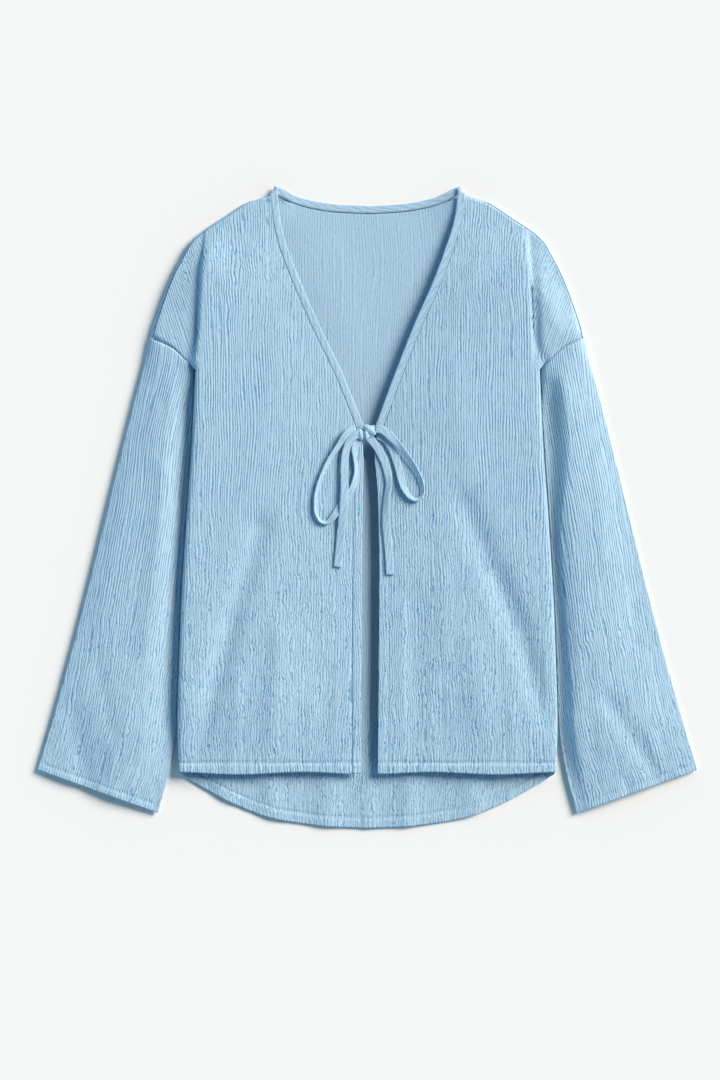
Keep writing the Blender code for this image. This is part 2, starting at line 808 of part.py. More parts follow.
def back_grid():
    """The back's underside and the way into its hollow, from hem to neck and left to right."""
    rows = back_lower_rows()
    top, outward, rolled = back_top()
    count = BACK_UPPER_ROWS + 1
    base = top + SHOULDER_ROLL[0][0] * outward
    armhole = along(ARMHOLE, np.linspace(0.0, 1.0, count))
    armhole += np.linspace(0.0, 1.0, count)[:, None] * (base[0] - armhole[-1])
    middle = np.array([(0.0, y) for y in np.linspace(UNDERARM_Y, base[-1][1], count)])
    curls = [point[2] for point in rows[-1]]
    patch = coons(np.array([point[:2] for point in rows[-1]]), base, armhole, middle)
    for r in range(1, count):
        flatten = 1.0 - ease(r / (count - 1) / CURL_FLATTENS)
        rows.append([(x, y, curl * flatten + neck_raise(x, y))
                     for (x, y), curl in zip(patch[r], curls)])
    half = np.array(rows)
    inward = grid_normals(half)
    inward[inward[:, :, 2] < 0.0] *= -1.0
    for outward_step, z_step, turn, neck_step in SHOULDER_ROLL[1:]:
        row = []
        into = []
        for place, out, amount in zip(top, outward, rolled):
            x, y = place + mix(neck_step, outward_step, amount) * out
            z = z_step * amount
            row.append((x, y, z + neck_raise(x, y) * (1.0 - z / SHOULDER_SEAM_Z)))
            angle = math.radians(turn * amount)
            into.append((*(-math.sin(angle) * out), math.cos(angle)))
        half = np.concatenate((half, [row]))
        inward = np.concatenate((inward, [into]))
    flip = np.array((-1.0, 1.0, 1.0))
    whole = np.concatenate((half[:, :-1] * flip, half[:, ::-1]), axis=1)
    return whole, np.concatenate((inward[:, :-1] * flip, inward[:, ::-1]), axis=1)


def back_panel(finish, owner):
    """The back as a wall that lies flat, with the crinkle on its upper side."""
    plain, inward = back_grid()
    rows, columns = plain.shape[:2]
    roll_rows = len(SHOULDER_ROLL) - 1
    edge = len(BACK_EDGE_INSETS)
    ridged = plain.copy()
    for r in range(rows):
        for c in range(columns):
            flat = edge < c < columns - 1 - edge and r < rows - roll_rows
            lift = WALL + (TURN_RISE if r <= 1 and flat else 0.0)
            lift += crinkle(c, r, BACK_CRINKLE) if flat else 0.0
            ridged[r, c] += lift * inward[r, c]
    lower = len(back_levels())
    for c, into in ((0, 1.0), (columns - 1, -1.0)):
        ridged[:lower, c] = plain[:lower, c] + (into * WALL, 0.0, 0.0)
    shoulder = edge + SHOULDER_COLUMNS
    kept = list(range(0, shoulder)) + list(range(shoulder + 1, columns - shoulder - 1, 2))
    kept += list(range(columns - shoulder, columns))
    return wall("back_panel", ridged, plain, kept, finish, owner)


# Sleeves

def sleeve_shares():
    """Shares of the sleeve's width across its upper side, closer at its rounded edges."""
    start = list(SLEEVE_EDGE_SHARES)
    inner = np.linspace(start[-1], 1.0 - start[-1], SLEEVE_TOP_COLUMNS - 2 * len(start) + 3)[1:-1]
    return start + list(inner) + [1.0 - share for share in reversed(start)]


def armhole_bulge(share):
    """How far the armhole's curve lies beyond the straight line between the sleeve's top corners."""
    outer = np.array(SLEEVE_OUTER[0])
    inner = np.array(SLEEVE_INNER[0])
    straight = mix(outer, inner, share)
    curve = along(ARMHOLE[::-1], [share])[0]
    away = np.array((inner[1] - outer[1], outer[0] - inner[0]))
    away /= -np.linalg.norm(away)
    reach = float(np.dot(straight - curve, away))
    return -max(reach - SEAM_GAP, 0.0) * away


def sleeve_panel(side, finish, owner):
    sizes = SIDES[side]
    stations = np.linspace(0.0, 1.0, SLEEVE_ROWS + 1)
    outer_edge = along(SLEEVE_OUTER, stations)
    inner_edge = along(SLEEVE_INNER, stations)
    shares = sleeve_shares()
    ridged = []
    plain = []
    for r, station in enumerate(stations):
        start = outer_edge[r]
        run = inner_edge[r] - start
        width = float(np.linalg.norm(run))
        top = mix(sizes["wing_z"], SLEEVE_TOP_Z, ease(station / ARMHOLE_EASE))
        top = mix(top, CUFF_TOP_Z, ease((station - CUFF_FROM) / (1.0 - CUFF_FROM)))
        profile = []
        toward_seam = 1.0 - ease(station / ARMHOLE_EASE)
        for share in shares:
            x, y = start + share * run + toward_seam * armhole_bulge(share)
            z = tube_z(share, SLEEVE_EDGE_Z, top)
            middle = math.sin(math.pi * share)
            z += fold_height(SLEEVE_FOLDS[side], x, y) * middle ** 0.5
            profile.append((share * width, z))
        for share, height in SLEEVE_UNDERSIDE:
            profile.append((share * width, height * SLEEVE_EDGE_Z))
        profile = np.array(profile)
        inward = profile_normals(profile)
        unit = run / width
        row = []
        inner_row = []
        for c, (across, z) in enumerate(profile):
            place = start + toward_seam * armhole_bulge(across / width)
            lift = 0.0
            if 2 < c < len(shares) - 3:
                amount = RIM_CRINKLE_SHARE if r in (0, SLEEVE_ROWS) else 1.0
                lift = amount * crinkle(c, r, SLEEVE_CRINKLE)
                lift += TURN_RISE if r == SLEEVE_ROWS else 0.0
            row.append((*(place + across * unit), z + lift))
            inner_across, inner_z = (across, z) + WALL * inward[c]
            inner_row.append((*(place + inner_across * unit), inner_z))
        ridged.append(row)
        plain.append(inner_row)
    ridged = np.array(ridged)
    plain = np.array(plain)
    ridged[:, :, 0] *= sizes["sign"]
    plain[:, :, 0] *= sizes["sign"]
    edge = len(SLEEVE_EDGE_SHARES)
    count = len(shares)
    kept = list(range(0, edge + 1)) + list(range(edge + 2, count - edge - 1, PLAIN_STEP))
    kept += list(range(count - edge - 1, len(ridged[0])))
    return wall("sleeve_" + side, ridged, plain, kept, finish, owner, tube=True)


def profile_normals(profile):
    """Unit normals into a closed outline that runs over the top and back under."""
    run = np.roll(profile, -1, axis=0) - np.roll(profile, 1, axis=0)
    normals = np.stack((run[:, 1], -run[:, 0]), axis=-1)
    return normals / np.linalg.norm(normals, axis=1, keepdims=True)


# Bands and ties

def strip_profile(name, width, thickness, owner):
    """A flat outline with bevelled corners, drawn as a closed curve for strips to follow."""
    data = bpy.data.curves.new(name, "CURVE")
    data.dimensions = "2D"
    x = 0.5 * width
    y = 0.5 * thickness
    outline = (
        (x, STRIP_CORNER - y), (x - STRIP_CORNER, -y), (STRIP_CORNER - x, -y), (-x, STRIP_CORNER - y),
        (-x, y - STRIP_CORNER), (STRIP_CORNER - x, y), (x - STRIP_CORNER, y), (x, y - STRIP_CORNER),
    )
    spline = data.splines.new("POLY")
    spline.points.add(len(outline) - 1)
    for point, (px, py) in zip(spline.points, outline):
        point.co = (px * MM, py * MM, 0.0, 1.0)
    spline.use_cyclic_u = True
    result = bpy.data.objects.new(name, data)
    result.hide_render = True
    result.display_type = "WIRE"
    owner.objects.link(result)
    return result


def strip(name, stations, profile, finish, owner):
    """A flat strip through stations of x, y, z and tilt in degrees."""
    data = bpy.data.curves.new(name, "CURVE")
    data.dimensions = "3D"
    data.twist_mode = "Z_UP"
    data.bevel_mode = "OBJECT"
    data.bevel_object = profile
    data.use_fill_caps = True
    spline = data.splines.new("POLY")
    spline.points.add(len(stations) - 1)
    for point, (x, y, z, tilt) in zip(spline.points, stations):
        point.co = (x * MM, y * MM, z * MM, 1.0)
        point.tilt = math.radians(tilt)
    data.materials.append(finish)
    result = bpy.data.objects.new(name, data)
    owner.objects.link(result)
    return result


def beside(points, distance):
    """A path at a distance to the left of another, seen from above."""
    run = np.gradient(points[:, :2], axis=0)
    run /= np.linalg.norm(run, axis=1, keepdims=True)
    result = points.copy()
    result[:, 0] -= distance * run[:, 1]
    result[:, 1] += distance * run[:, 0]
    return result


def band_stations(side, smooth):
    """The middle line of the neck's binding, beside the front's edge from knot to neck."""
    edge = smooth[0][:, -1]
    levels = edge[:, 1]
    start = [np.interp(BAND_START_Y, levels, edge[:, axis]) for axis in range(3)]
    edge = np.vstack((start, edge[levels > BAND_START_Y]))
    middle = beside(edge, 0.5 * BAND_WIDTH + SEAM_GAP)
    middle[:, 2] -= 0.5 * WALL
    over_shoulder = (middle[-1, 0], BAND_TOP_Y, middle[-1, 2])
    sign = SIDES[side]["sign"]
    return [(sign * x, y, z, 0.0) for x, y, z in (*middle, over_shoulder)]


def back_band_stations():
    """The middle line of the back neck's binding, from one shoulder to the other."""
    top = back_top()[0]
    half = top[SHOULDER_COLUMNS + len(BACK_EDGE_INSETS) - 1:][::-1]
    half[-1] = mix(half[-2], half[-1], BAND_END_SHARE)
    half = np.column_stack((half, np.zeros(len(half))))
    half = beside(half, 0.5 * BAND_WIDTH + BACK_BAND_GAP)
    right = [(x, y, 0.5 * BAND_THICKNESS + SEAM_GAP + neck_raise(x, y), 0.0) for x, y, _ in half]
    left = [(-x, y, z, tilt) for x, y, z, tilt in reversed(right[1:])]
    return left + right


def tie_stations(rows):
    """A tie's middle line from its table, evenly spaced and clear of the front's ridges."""
    route = []
    for x, y, lift, tilt in rows:
        angle = math.radians(abs(tilt))
        half = 0.5 * (TIE_WIDTH * math.sin(angle) + TIE_THICKNESS * math.cos(angle))
        z = front_z_at(x, y) + FRONT_CRINKLE + half + TIE_REST * math.cos(angle) + lift
        route.append((x, y, z, tilt))
    path = smooth_path(route, 8)[:, :3]
    length = float(np.sum(np.linalg.norm(np.diff(path, axis=0), axis=1)))
    return along(route, np.linspace(0.0, 1.0, round(length / ROUTE_STEP) + 1), 8)


def knot(finish, owner):
    """The knot as a rounded block, longer across than along."""
    mesh = bmesh.new()
    bmesh.ops.create_uvsphere(mesh, u_segments=16, v_segments=10, radius=1.0)
    half = (0.5 * KNOT["width"], 0.5 * KNOT["length"], 0.5 * KNOT["height"])
    for vertex in mesh.verts:
        unit = vertex.co.normalized()
        boxed = [math.copysign(abs(part) ** KNOT_ROUNDNESS, part) for part in unit]
        waist = 1.0 - KNOT_WAIST * math.cos(math.pi * boxed[0])
        vertex.co = (
            boxed[0] * half[0] + KNOT["x"],
            boxed[1] * half[1] * waist + KNOT["y"],
            boxed[2] * half[2] + KNOT["base_z"] + half[2],
        )
    return finish_mesh("tie_knot", mesh, finish, owner)


def clear_scene():
    for item in list(bpy.data.objects):
        bpy.data.objects.remove(item, do_unlink=True)


def main():
    clear_scene()
    owner = collection(OBJECT_NAME)
    guides = collection("guides")
    body_cloth = material("crinkled_cotton", SKY_BLUE, 0.85)
    sleeve_cloth = material("crinkled_cotton_sleeves", DEEP_SKY_BLUE, 0.85)
    band_cloth = material("binding_cloth", BAND_BLUE, 0.8)
    tie_cloth = material("tie_cloth", BAND_BLUE, 0.8)
    band_profile = strip_profile("band_profile", BAND_WIDTH, BAND_THICKNESS, guides)
    tie_profile = strip_profile("tie_profile", TIE_WIDTH, TIE_THICKNESS, guides)
    back_panel(body_cloth, owner)
    for side in SIDES:
        smooth = front_grid(side)
        front_panel(side, smooth, body_cloth, owner)
        sleeve_panel(side, sleeve_cloth, owner)
        strip("neck_band_" + side, band_stations(side, smooth), band_profile, band_cloth, owner)
    strip("neck_band_back", back_band_stations(), band_profile, band_cloth, owner)
    knot(tie_cloth, owner)
    for name, rows in TIE_ROUTES.items():
        strip(name, tie_stations(rows), tie_profile, tie_cloth, owner)


main()
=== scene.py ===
import logging
import math
from dataclasses import dataclass, field
from enum import Enum

import bmesh
import bpy
import numpy as np
from mathutils import Matrix, Vector


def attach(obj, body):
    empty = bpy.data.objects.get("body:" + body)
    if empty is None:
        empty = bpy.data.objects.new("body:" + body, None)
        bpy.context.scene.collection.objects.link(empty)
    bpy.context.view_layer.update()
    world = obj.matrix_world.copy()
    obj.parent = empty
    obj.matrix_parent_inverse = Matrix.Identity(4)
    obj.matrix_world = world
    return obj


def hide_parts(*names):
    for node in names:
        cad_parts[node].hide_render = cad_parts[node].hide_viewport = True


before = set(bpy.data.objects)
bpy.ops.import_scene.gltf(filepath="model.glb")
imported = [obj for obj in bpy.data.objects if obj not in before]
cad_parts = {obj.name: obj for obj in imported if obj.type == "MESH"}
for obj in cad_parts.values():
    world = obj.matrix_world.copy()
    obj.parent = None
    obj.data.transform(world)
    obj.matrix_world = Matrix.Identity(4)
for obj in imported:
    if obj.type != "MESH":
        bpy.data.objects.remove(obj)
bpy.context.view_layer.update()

log = logging.getLogger("kimono_jacket")
MM = 0.001
Table = tuple[tuple[float, ...], ...]
Array = np.ndarray
Values = np.ndarray | float


class Side(Enum):
    """A side of the jacket as it lies, seen from above."""

    LEFT = "left"
    RIGHT = "right"

    @property
    def sign(self) -> float:
        """The sign of x on this side."""
        return -1.0 if self is Side.LEFT else 1.0


class Edge(Enum):
    """An edge of a cloth grid, by where its rows and columns start and end."""

    FIRST_ROW = "first_row"
    LAST_ROW = "last_row"
    FIRST_COLUMN = "first_column"
    LAST_COLUMN = "last_column"


# Curves and soft steps


def arc_lengths(path: Array) -> Array:
    """Give the length that a path has run at each of its points."""
    return np.concatenate(([0.0], np.cumsum(np.linalg.norm(np.diff(path, axis=0), axis=1))))


def read_at(path: Array, lengths: Array, wanted: Values) -> Array:
    """Find a path's places at the lengths that are wanted."""
    return np.stack([np.interp(wanted, lengths, column) for column in path.T], axis=-1)


def unit(vectors: Array) -> Array:
    """Scale vectors along the last axis to a length of one."""
    return vectors / np.maximum(np.linalg.norm(vectors, axis=-1, keepdims=True), 1e-9)


def even_shares(count: int) -> Array:
    """Give evenly spaced shares from 0 to 1."""
    return np.linspace(0.0, 1.0, count)


def bell(away: Values, half_width: float) -> Array:
    """Fall softly from 1 toward 0 on both sides of a place."""
    return np.exp(-(away / half_width) ** 2)


def smooth_path(points: Table | Array, steps: int = 12) -> Array:
    """Run a smooth curve through a few places.

    Args:
        points: The places, a row each.
        steps: How many spans lie between two of them.

    Returns:
        The curve's points, with as many columns as the places have.
    """
    places = np.asarray(points, dtype=float)
    ends = np.vstack((2.0 * places[0] - places[1], places, 2.0 * places[-1] - places[-2]))
    path = []
    for k in range(1, len(ends) - 2):
        span = ends[k + 1] - ends[k - 1]
        after = ends[k + 2] - ends[k]
        step = ends[k + 1] - ends[k]
        for t in np.arange(steps) / steps:
            bend = (3.0 * step - span - 0.5 * after) * t * t
            twist = (0.5 * span + 0.5 * after - 2.0 * step) * t ** 3
            path.append(ends[k] + 0.5 * span * t + bend + twist)
    path.append(places[-1])
    return np.array(path)


def along(points: Table | Array, shares: Array) -> Array:
    """Find places at shares of a smooth curve's length.

    Args:
        points: The places that the curve runs through.
        shares: Shares of its length, from 0 to 1.

    Returns:
        A row for each share.
    """
    path = smooth_path(points)
    lengths = arc_lengths(path)
    return read_at(path, lengths, shares * lengths[-1])


def read_table(table: Table, keys: Values) -> Array:
    """Read a two-column table as a smooth curve, at keys in its first column."""
    path = smooth_path(table)
    return np.interp(keys, path[:, 0], path[:, 1])


def ease(value: Values) -> Array:
    """Step softly from 0 to 1."""
    value = np.clip(value, 0.0, 1.0)
    return value * value * (3.0 - 2.0 * value)


def mix(first: Values, second: Values, share: Values) -> Array:
    """Go a share of the way from one value to another."""
    return first + (second - first) * share


def dense_start(count: int, dense: int, share: float) -> Array:
    """Give count + 1 shares from 0 to 1, with the first of them closer together.

    Args:
        count: How many spans there are.
        dense: How many of them lie in the close part.
        share: Where the close part ends.

    Returns:
        The shares.
    """
    return np.concatenate((np.linspace(0.0, share, dense + 1),
                           np.linspace(share, 1.0, count - dense + 1)[1:]))


def coons(bottom: Array, top: Array, left: Array, right: Array) -> Array:
    """Fill a grid between four edges.

    Args:
        bottom: Points of the first row.
        top: Points of the last row.
        left: Points of the first column.
        right: Points of the last column.

    Returns:
        The grid of points, rows by columns.
    """
    r = even_shares(len(left))[:, None, None]
    c = even_shares(len(bottom))[None, :, None]
    ruled = (1 - r) * bottom[None] + r * top[None] + (1 - c) * left[:, None] + c * right[:, None]
    first = (1 - c) * bottom[0] + c * bottom[-1]
    last = (1 - c) * top[0] + c * top[-1]
    return ruled - (1 - r) * first - r * last


def fold_height(folds: Table, x: Array, y: Array) -> Array:
    """Lay soft folds; where some overlap, the deepest and the highest count.

    Args:
        folds: Rows of x1, y1, x2, y2, half width and height, which is negative for a trough.
        x: Places across.
        y: Places along.

    Returns:
        The height at each place.
    """
    lowest = np.zeros(np.broadcast(x, y).shape)
    highest = lowest.copy()
    for x1, y1, x2, y2, half_width, height in folds:
        run_x, run_y = x2 - x1, y2 - y1
        share = ((x - x1) * run_x + (y - y1) * run_y) / (run_x ** 2 + run_y ** 2)
        nearest = np.clip(share, 0.0, 1.0)
        away = np.hypot(x - x1 - nearest * run_x, y - y1 - nearest * run_y)
        rise = height * bell(away, half_width)
        lowest, highest = np.minimum(lowest, rise), np.maximum(highest, rise)
    return lowest + highest


# The crinkle of the cloth

# Numbers of independent noise patterns; the ribs' wavers take 1 to 4
SWELL_LAYER, STRENGTH_LAYER, FINE_LAYER, ROUGH_LAYER, PUCKER_LAYER, TWILL_LAYER = 5, 6, 7, 9, 12, 21


@dataclass(frozen=True)
class Crinkle:
    """The uneven lengthwise crinkle that hot shrinking sets in a light cotton crepe.

    Rounded ribs stand about 3 mm apart between crisp valleys; in rough zones they waver into a net.
    """

    seed: int = 7
    pitch: float = 3.1
    # How the ribs waver: millimetres across and along, then ribs where they are straight and in the net
    wavers: Table = ((44, 95, 1.1, 1.1), (4.6, 70, 0.55, 0.55), (12, 23, 0.14, 0.55), (6, 10.5, 0.05, 0.4))

    def puckers(self, across: Array, length: Array, above_hem: Array, reach: float) -> Array:
        """Give the fine puckers that a hem's stitching draws across the turned cloth."""
        return self.noise(across / 2.6, length / 30.0, PUCKER_LAYER) * bell(above_hem, reach)

    def noise(self, x: Array, y: Array, layer: int) -> Array:
        """Give smooth uneven values.

        Args:
            x: Places across, one unit for each cell.
            y: Places along, one unit for each cell.
            layer: Which of the independent patterns is meant.

        Returns:
            Values from -1 to 1.
        """
        xi, yi = np.floor(x).astype(np.int64), np.floor(y).astype(np.int64)
        fx, fy = x - xi, y - yi
        sx, sy = fx * fx * (3.0 - 2.0 * fx), fy * fy * (3.0 - 2.0 * fy)

        def corner(dx: int, dy: int) -> Array:
            """Give the fixed value of one corner of each cell."""
            mixed = (xi + dx) * 374761393 + (yi + dy) * 668265263 + (self.seed + 31 * layer) * 1442695041
            mixed = ((mixed ^ (mixed >> 13)) * 1274126177) & 0xFFFFFFFF
            return ((mixed ^ (mixed >> 16)) & 0xFFFF) / 32767.5 - 1.0

        low = mix(corner(0, 0), corner(1, 0), sx)
        high = mix(corner(0, 1), corner(1, 1), sx)
        return mix(low, high, sy)

    def ribs(self, across: Array, length: Array, rough: Values) -> Array:
        """Count the ribs across the cloth, a whole number at each valley.

        Args:
            across: Millimetres across the cloth.
            length: Millimetres along the cloth.
            rough: 0 where the ribs run straight, 1 where they form a net.

        Returns:
            The count at each place.
        """
        count = across / self.pitch
        for layer, (wide, long, straight, net) in enumerate(self.wavers, 1):
            count = count + mix(straight, net, rough) * self.noise(across / wide, length / long, layer)
        return count

    def height(self, across: Array, length: Array, rough: Values) -> Array:
        """Give heights from about -1 to 1, with valleys narrower than ribs, for what ribs takes."""
        arch = np.abs(np.sin(math.pi * self.ribs(across, length, rough)))
        strength = 0.8 + 0.4 * self.noise(across / 8.0, length / 22.0, STRENGTH_LAYER)
        strength = strength + 0.3 * self.noise(across / 3.1, length / 55.0, FINE_LAYER)
        swell = self.noise(across / 17.0, length / 90.0, SWELL_LAYER)
        return strength * (1.6 * arch - 1.0) + 0.15 * swell


CRINKLE = Crinkle()


# Cloth grids and meshes


@dataclass
class Cloth:
    """A panel as a grid of points in millimetres, with its place on the cloth beside each."""

    points: Array
    across: Array
    length: Array
    ribs: Array = field(default_factory=lambda: np.zeros((0, 0)))
    rough: Array = field(default_factory=lambda: np.zeros((0, 0)))
    depth: Array = field(default_factory=lambda: np.zeros((0, 0)))

    def chart(self) -> tuple[Array, ...]:
        """Give what the mesh keeps at each point: its place on the cloth, then how it is crinkled."""
        return self.across, self.length, self.ribs, self.rough, self.depth

    def normals(self) -> Array:
        """Give the unit normals that point out of the panel's upper side."""
        rows = np.gradient(self.points, axis=0)
        columns = np.gradient(self.points, axis=1)
        return unit(np.cross(columns, rows))

    def crease(self, amount: Array, rough: Values, outward: float) -> None:
        """Push the crinkle into the panel.

        Args:
            amount: Half the height between ridge and valley at each point.
            rough: How far the ridges break into a net.
            outward: 1 or -1, to turn the grid's normals out of the cloth.
        """
        relief = CRINKLE.height(self.across, self.length, rough)
        self.points = self.points + outward * self.normals() * (amount * relief)[..., None]
        self.ribs = CRINKLE.ribs(self.across, self.length, rough)
        self.rough = np.broadcast_to(rough, relief.shape)
        self.depth = np.ones(relief.shape)

    def inset(self, edge: Edge, distance: float) -> Array:
        """Find the line that runs beside an edge.

        Args:
            edge: The edge that the line follows.
            distance: How far inside the edge it lies.

        Returns:
            The line's points.
        """
        points = self.points if edge in (Edge.FIRST_ROW, Edge.LAST_ROW) else self.points.transpose(1, 0, 2)
        if edge in (Edge.LAST_ROW, Edge.LAST_COLUMN):
            points = points[::-1]
        steps = np.linalg.norm(np.diff(points, axis=0), axis=2)
        away = np.vstack((np.zeros(points.shape[1]), np.cumsum(steps, axis=0)))
        return np.array([read_at(points[:, k], away[:, k], distance) for k in range(points.shape[1])])


def grid_mesh(points: Array, cloth: tuple[Array, ...] = (), closed: bool = False,
              capped: bool = False, flipped: bool = False) -> bmesh.types.BMesh:
    """Make a grid and move its points onto a surface.

    Args:
        points: Rows by columns of places in millimetres.
        cloth: Places across and along the cloth in millimetres, then the crinkle's ribs, roughness and depth.
        closed: Whether the last column lies on the first, as round a tube.
        capped: Whether a closed grid's two ends are filled.
        flipped: Whether the faces are turned over.

    Returns:
        The mesh in metres.
    """
    rows, columns = points.shape[:2]
    mesh = bmesh.new()
    bmesh.ops.create_grid(mesh, x_segments=columns - 1, y_segments=rows - 1, size=1.0)
    mesh.verts.ensure_lookup_table()
    chart = mesh.loops.layers.uv.new("cloth")
    layers = [mesh.verts.layers.float.new(name) for name in ("ribs", "rough", "depth")]
    places = {}
    for vertex in mesh.verts:
        column = round((vertex.co.x + 1.0) * 0.5 * (columns - 1))
        row = round((vertex.co.y + 1.0) * 0.5 * (rows - 1))
        places[vertex.index] = (row, column)
        vertex.co = Vector(points[row, column]) * MM
        for layer, values in zip(layers, cloth[2:]):
            vertex[layer] = float(values[row, column])
    if cloth:
        across, length = cloth[0] * MM, cloth[1] * MM
        for face in mesh.faces:
            for loop in face.loops:
                place = places[loop.vert.index]
                loop[chart].uv = (across[place], length[place])
    if closed:
        bmesh.ops.remove_doubles(mesh, verts=mesh.verts, dist=0.00001)
    if capped:
        bmesh.ops.holes_fill(mesh, edges=[edge for edge in mesh.edges if edge.is_boundary], sides=0)
        bmesh.ops.recalc_face_normals(mesh, faces=mesh.faces)
    elif flipped:
        bmesh.ops.reverse_faces(mesh, faces=mesh.faces)
    return mesh


def add_object(name: str, data: bpy.types.ID | bmesh.types.BMesh) -> bpy.types.Object:
    """Put a mesh, a lamp or a camera in the scene."""
    if isinstance(data, bmesh.types.BMesh):
        mesh, data = data, bpy.data.meshes.new(name)
        mesh.to_mesh(data)
        mesh.free()
    item = bpy.data.objects.new(name, data)
    bpy.context.scene.collection.objects.link(item)
    return item


def make_piece(name: str, mesh: bmesh.types.BMesh, finish: bpy.types.Material, node: str,
               thickness: float = 0.0, replaces: bool = True) -> bpy.types.Object:
    """Turn a mesh into a piece that rides on the jacket.

    Args:
        name: The piece's name.
        mesh: Its mesh, in metres.
        finish: Its material.
        node: The solid that it stands for, or lies on.
        thickness: Millimetres that a shell gets inward.
        replaces: Whether it takes the solid's place.

    Returns:
        The new object.
    """
    piece = add_object(name, mesh)
    data = piece.data
    data.shade_smooth()
    data.materials.append(finish)
    if thickness:
        wall = piece.modifiers.new("wall", "SOLIDIFY")
        wall.thickness = thickness * MM
        wall.offset = -1.0
        wall.use_even_offset = False
    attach(piece, "root")
    if replaces:
        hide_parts(node)
    log.info("%s: %d faces", name, len(data.polygons))
    return piece


# The jacket's form, in millimetres, as it lies


@dataclass(frozen=True)
class Lay:
    """How one side lies: the wing is the dropped shoulder outside the body's fold."""

    crest_z: float
    front_edge_z: float
    wing_z: float
    sleeve_z: float
    # Share of the sleeve's width over which it sinks toward the body, in its lower part
    sink_share: float
    # Millimetres over which the body's fold drops to the wing
    drop_width: float
    valley: float
    neck_edge_z: float
    front_edge: Table
    folds: Table
    soft_folds: Table
    sleeve_folds: Table
    soft_sleeve_folds: Table


LEFT_LAY = Lay(
    crest_z=18.6, front_edge_z=13.5, wing_z=11.5, sleeve_z=14.6, sink_share=0.36, drop_width=9.0,
    valley=0.0, neck_edge_z=13.5,
    front_edge=((-311, 7.6), (-97, 7), (7, 5.6), (72, 5.4), (96, 14.6), (155.6, 38.6),
                (217.6, 68.4), (282, 95.4), (321.8, 108.2), (365, 114.5)),
    folds=((126, -26, 158, -130, 15, -3.8), (158, -130, 182, -214, 14, -4.8),
           (182, -214, 198, -290, 14, -3.8), (100, -150, 104, -290, 22, 2.2),
           (46, -190, 50, -300, 14, -2.4), (95, 200, 130, 60, 18, 0.9)),
    soft_folds=((104, -150, 116, -290, 8, 0.7), (88, 60, 84, -40, 10, -0.5),
                (34, -60, 36, -190, 9, -0.5), (78, -240, 84, -306, 8, -1),
                (150, -200, 156, -300, 9, 1)),
    sleeve_folds=((254, 33, 278, -166, 18, -1.4), (236, 40, 246, -180, 12, 0.6),
                  (345, -240, 330, -322, 13, -2)),
    soft_sleeve_folds=((285, 20, 312, -120, 8, 0.8), (262, -200, 275, -300, 8, -0.9),
                       (318, -170, 300, -260, 8, -0.8), (236, 120, 240, 60, 7, -0.8),
                       (300, -280, 296, -335, 7, 0.8)),
)
RIGHT_LAY = Lay(
    crest_z=16.0, front_edge_z=11.8, wing_z=16.4, sleeve_z=16.2, sink_share=0.17, drop_width=4.0,
    valley=4.2, neck_edge_z=13.0,
    front_edge=((-311, 12), (-97, 13.5), (7, 12.3), (70, 8.4), (99.5, 20.5), (147.4, 38),
                (207, 61.4), (263.3, 86), (303, 100.5), (336, 110.5), (365, 114.5)),
    folds=((112, 4, 148, -76, 15, -3.4), (148, -76, 178, -146, 15, -4.8),
           (178, -146, 210, -250, 14, -4.8), (50, -110, 58, -298, 15, -3),
           (120, -160, 142, -306, 18, 2), (90, 190, 116, 40, 18, 0.9)),
    soft_folds=((88, -60, 92, -180, 9, 0.7), (84, -220, 90, -306, 8, -1.2),
                (34, -210, 32, -300, 7, 0.8), (64, 40, 76, -50, 9, -0.5),
                (168, -240, 172, -306, 8, 1.2)),
    sleeve_folds=((214, 140, 234, -230, 9, -3), (280, -225, 346, -322, 11, -2.2),
                  (300, 40, 318, -160, 15, -1.6)),
    soft_sleeve_folds=((331, -266, 346, -322, 7, 1), (300, -318, 306, -338, 6, -1),
                       (268, 60, 276, -60, 8, 0.8), (256, -180, 262, -290, 8, -0.8),
                       (330, -150, 344, -230, 8, -0.8)),
)


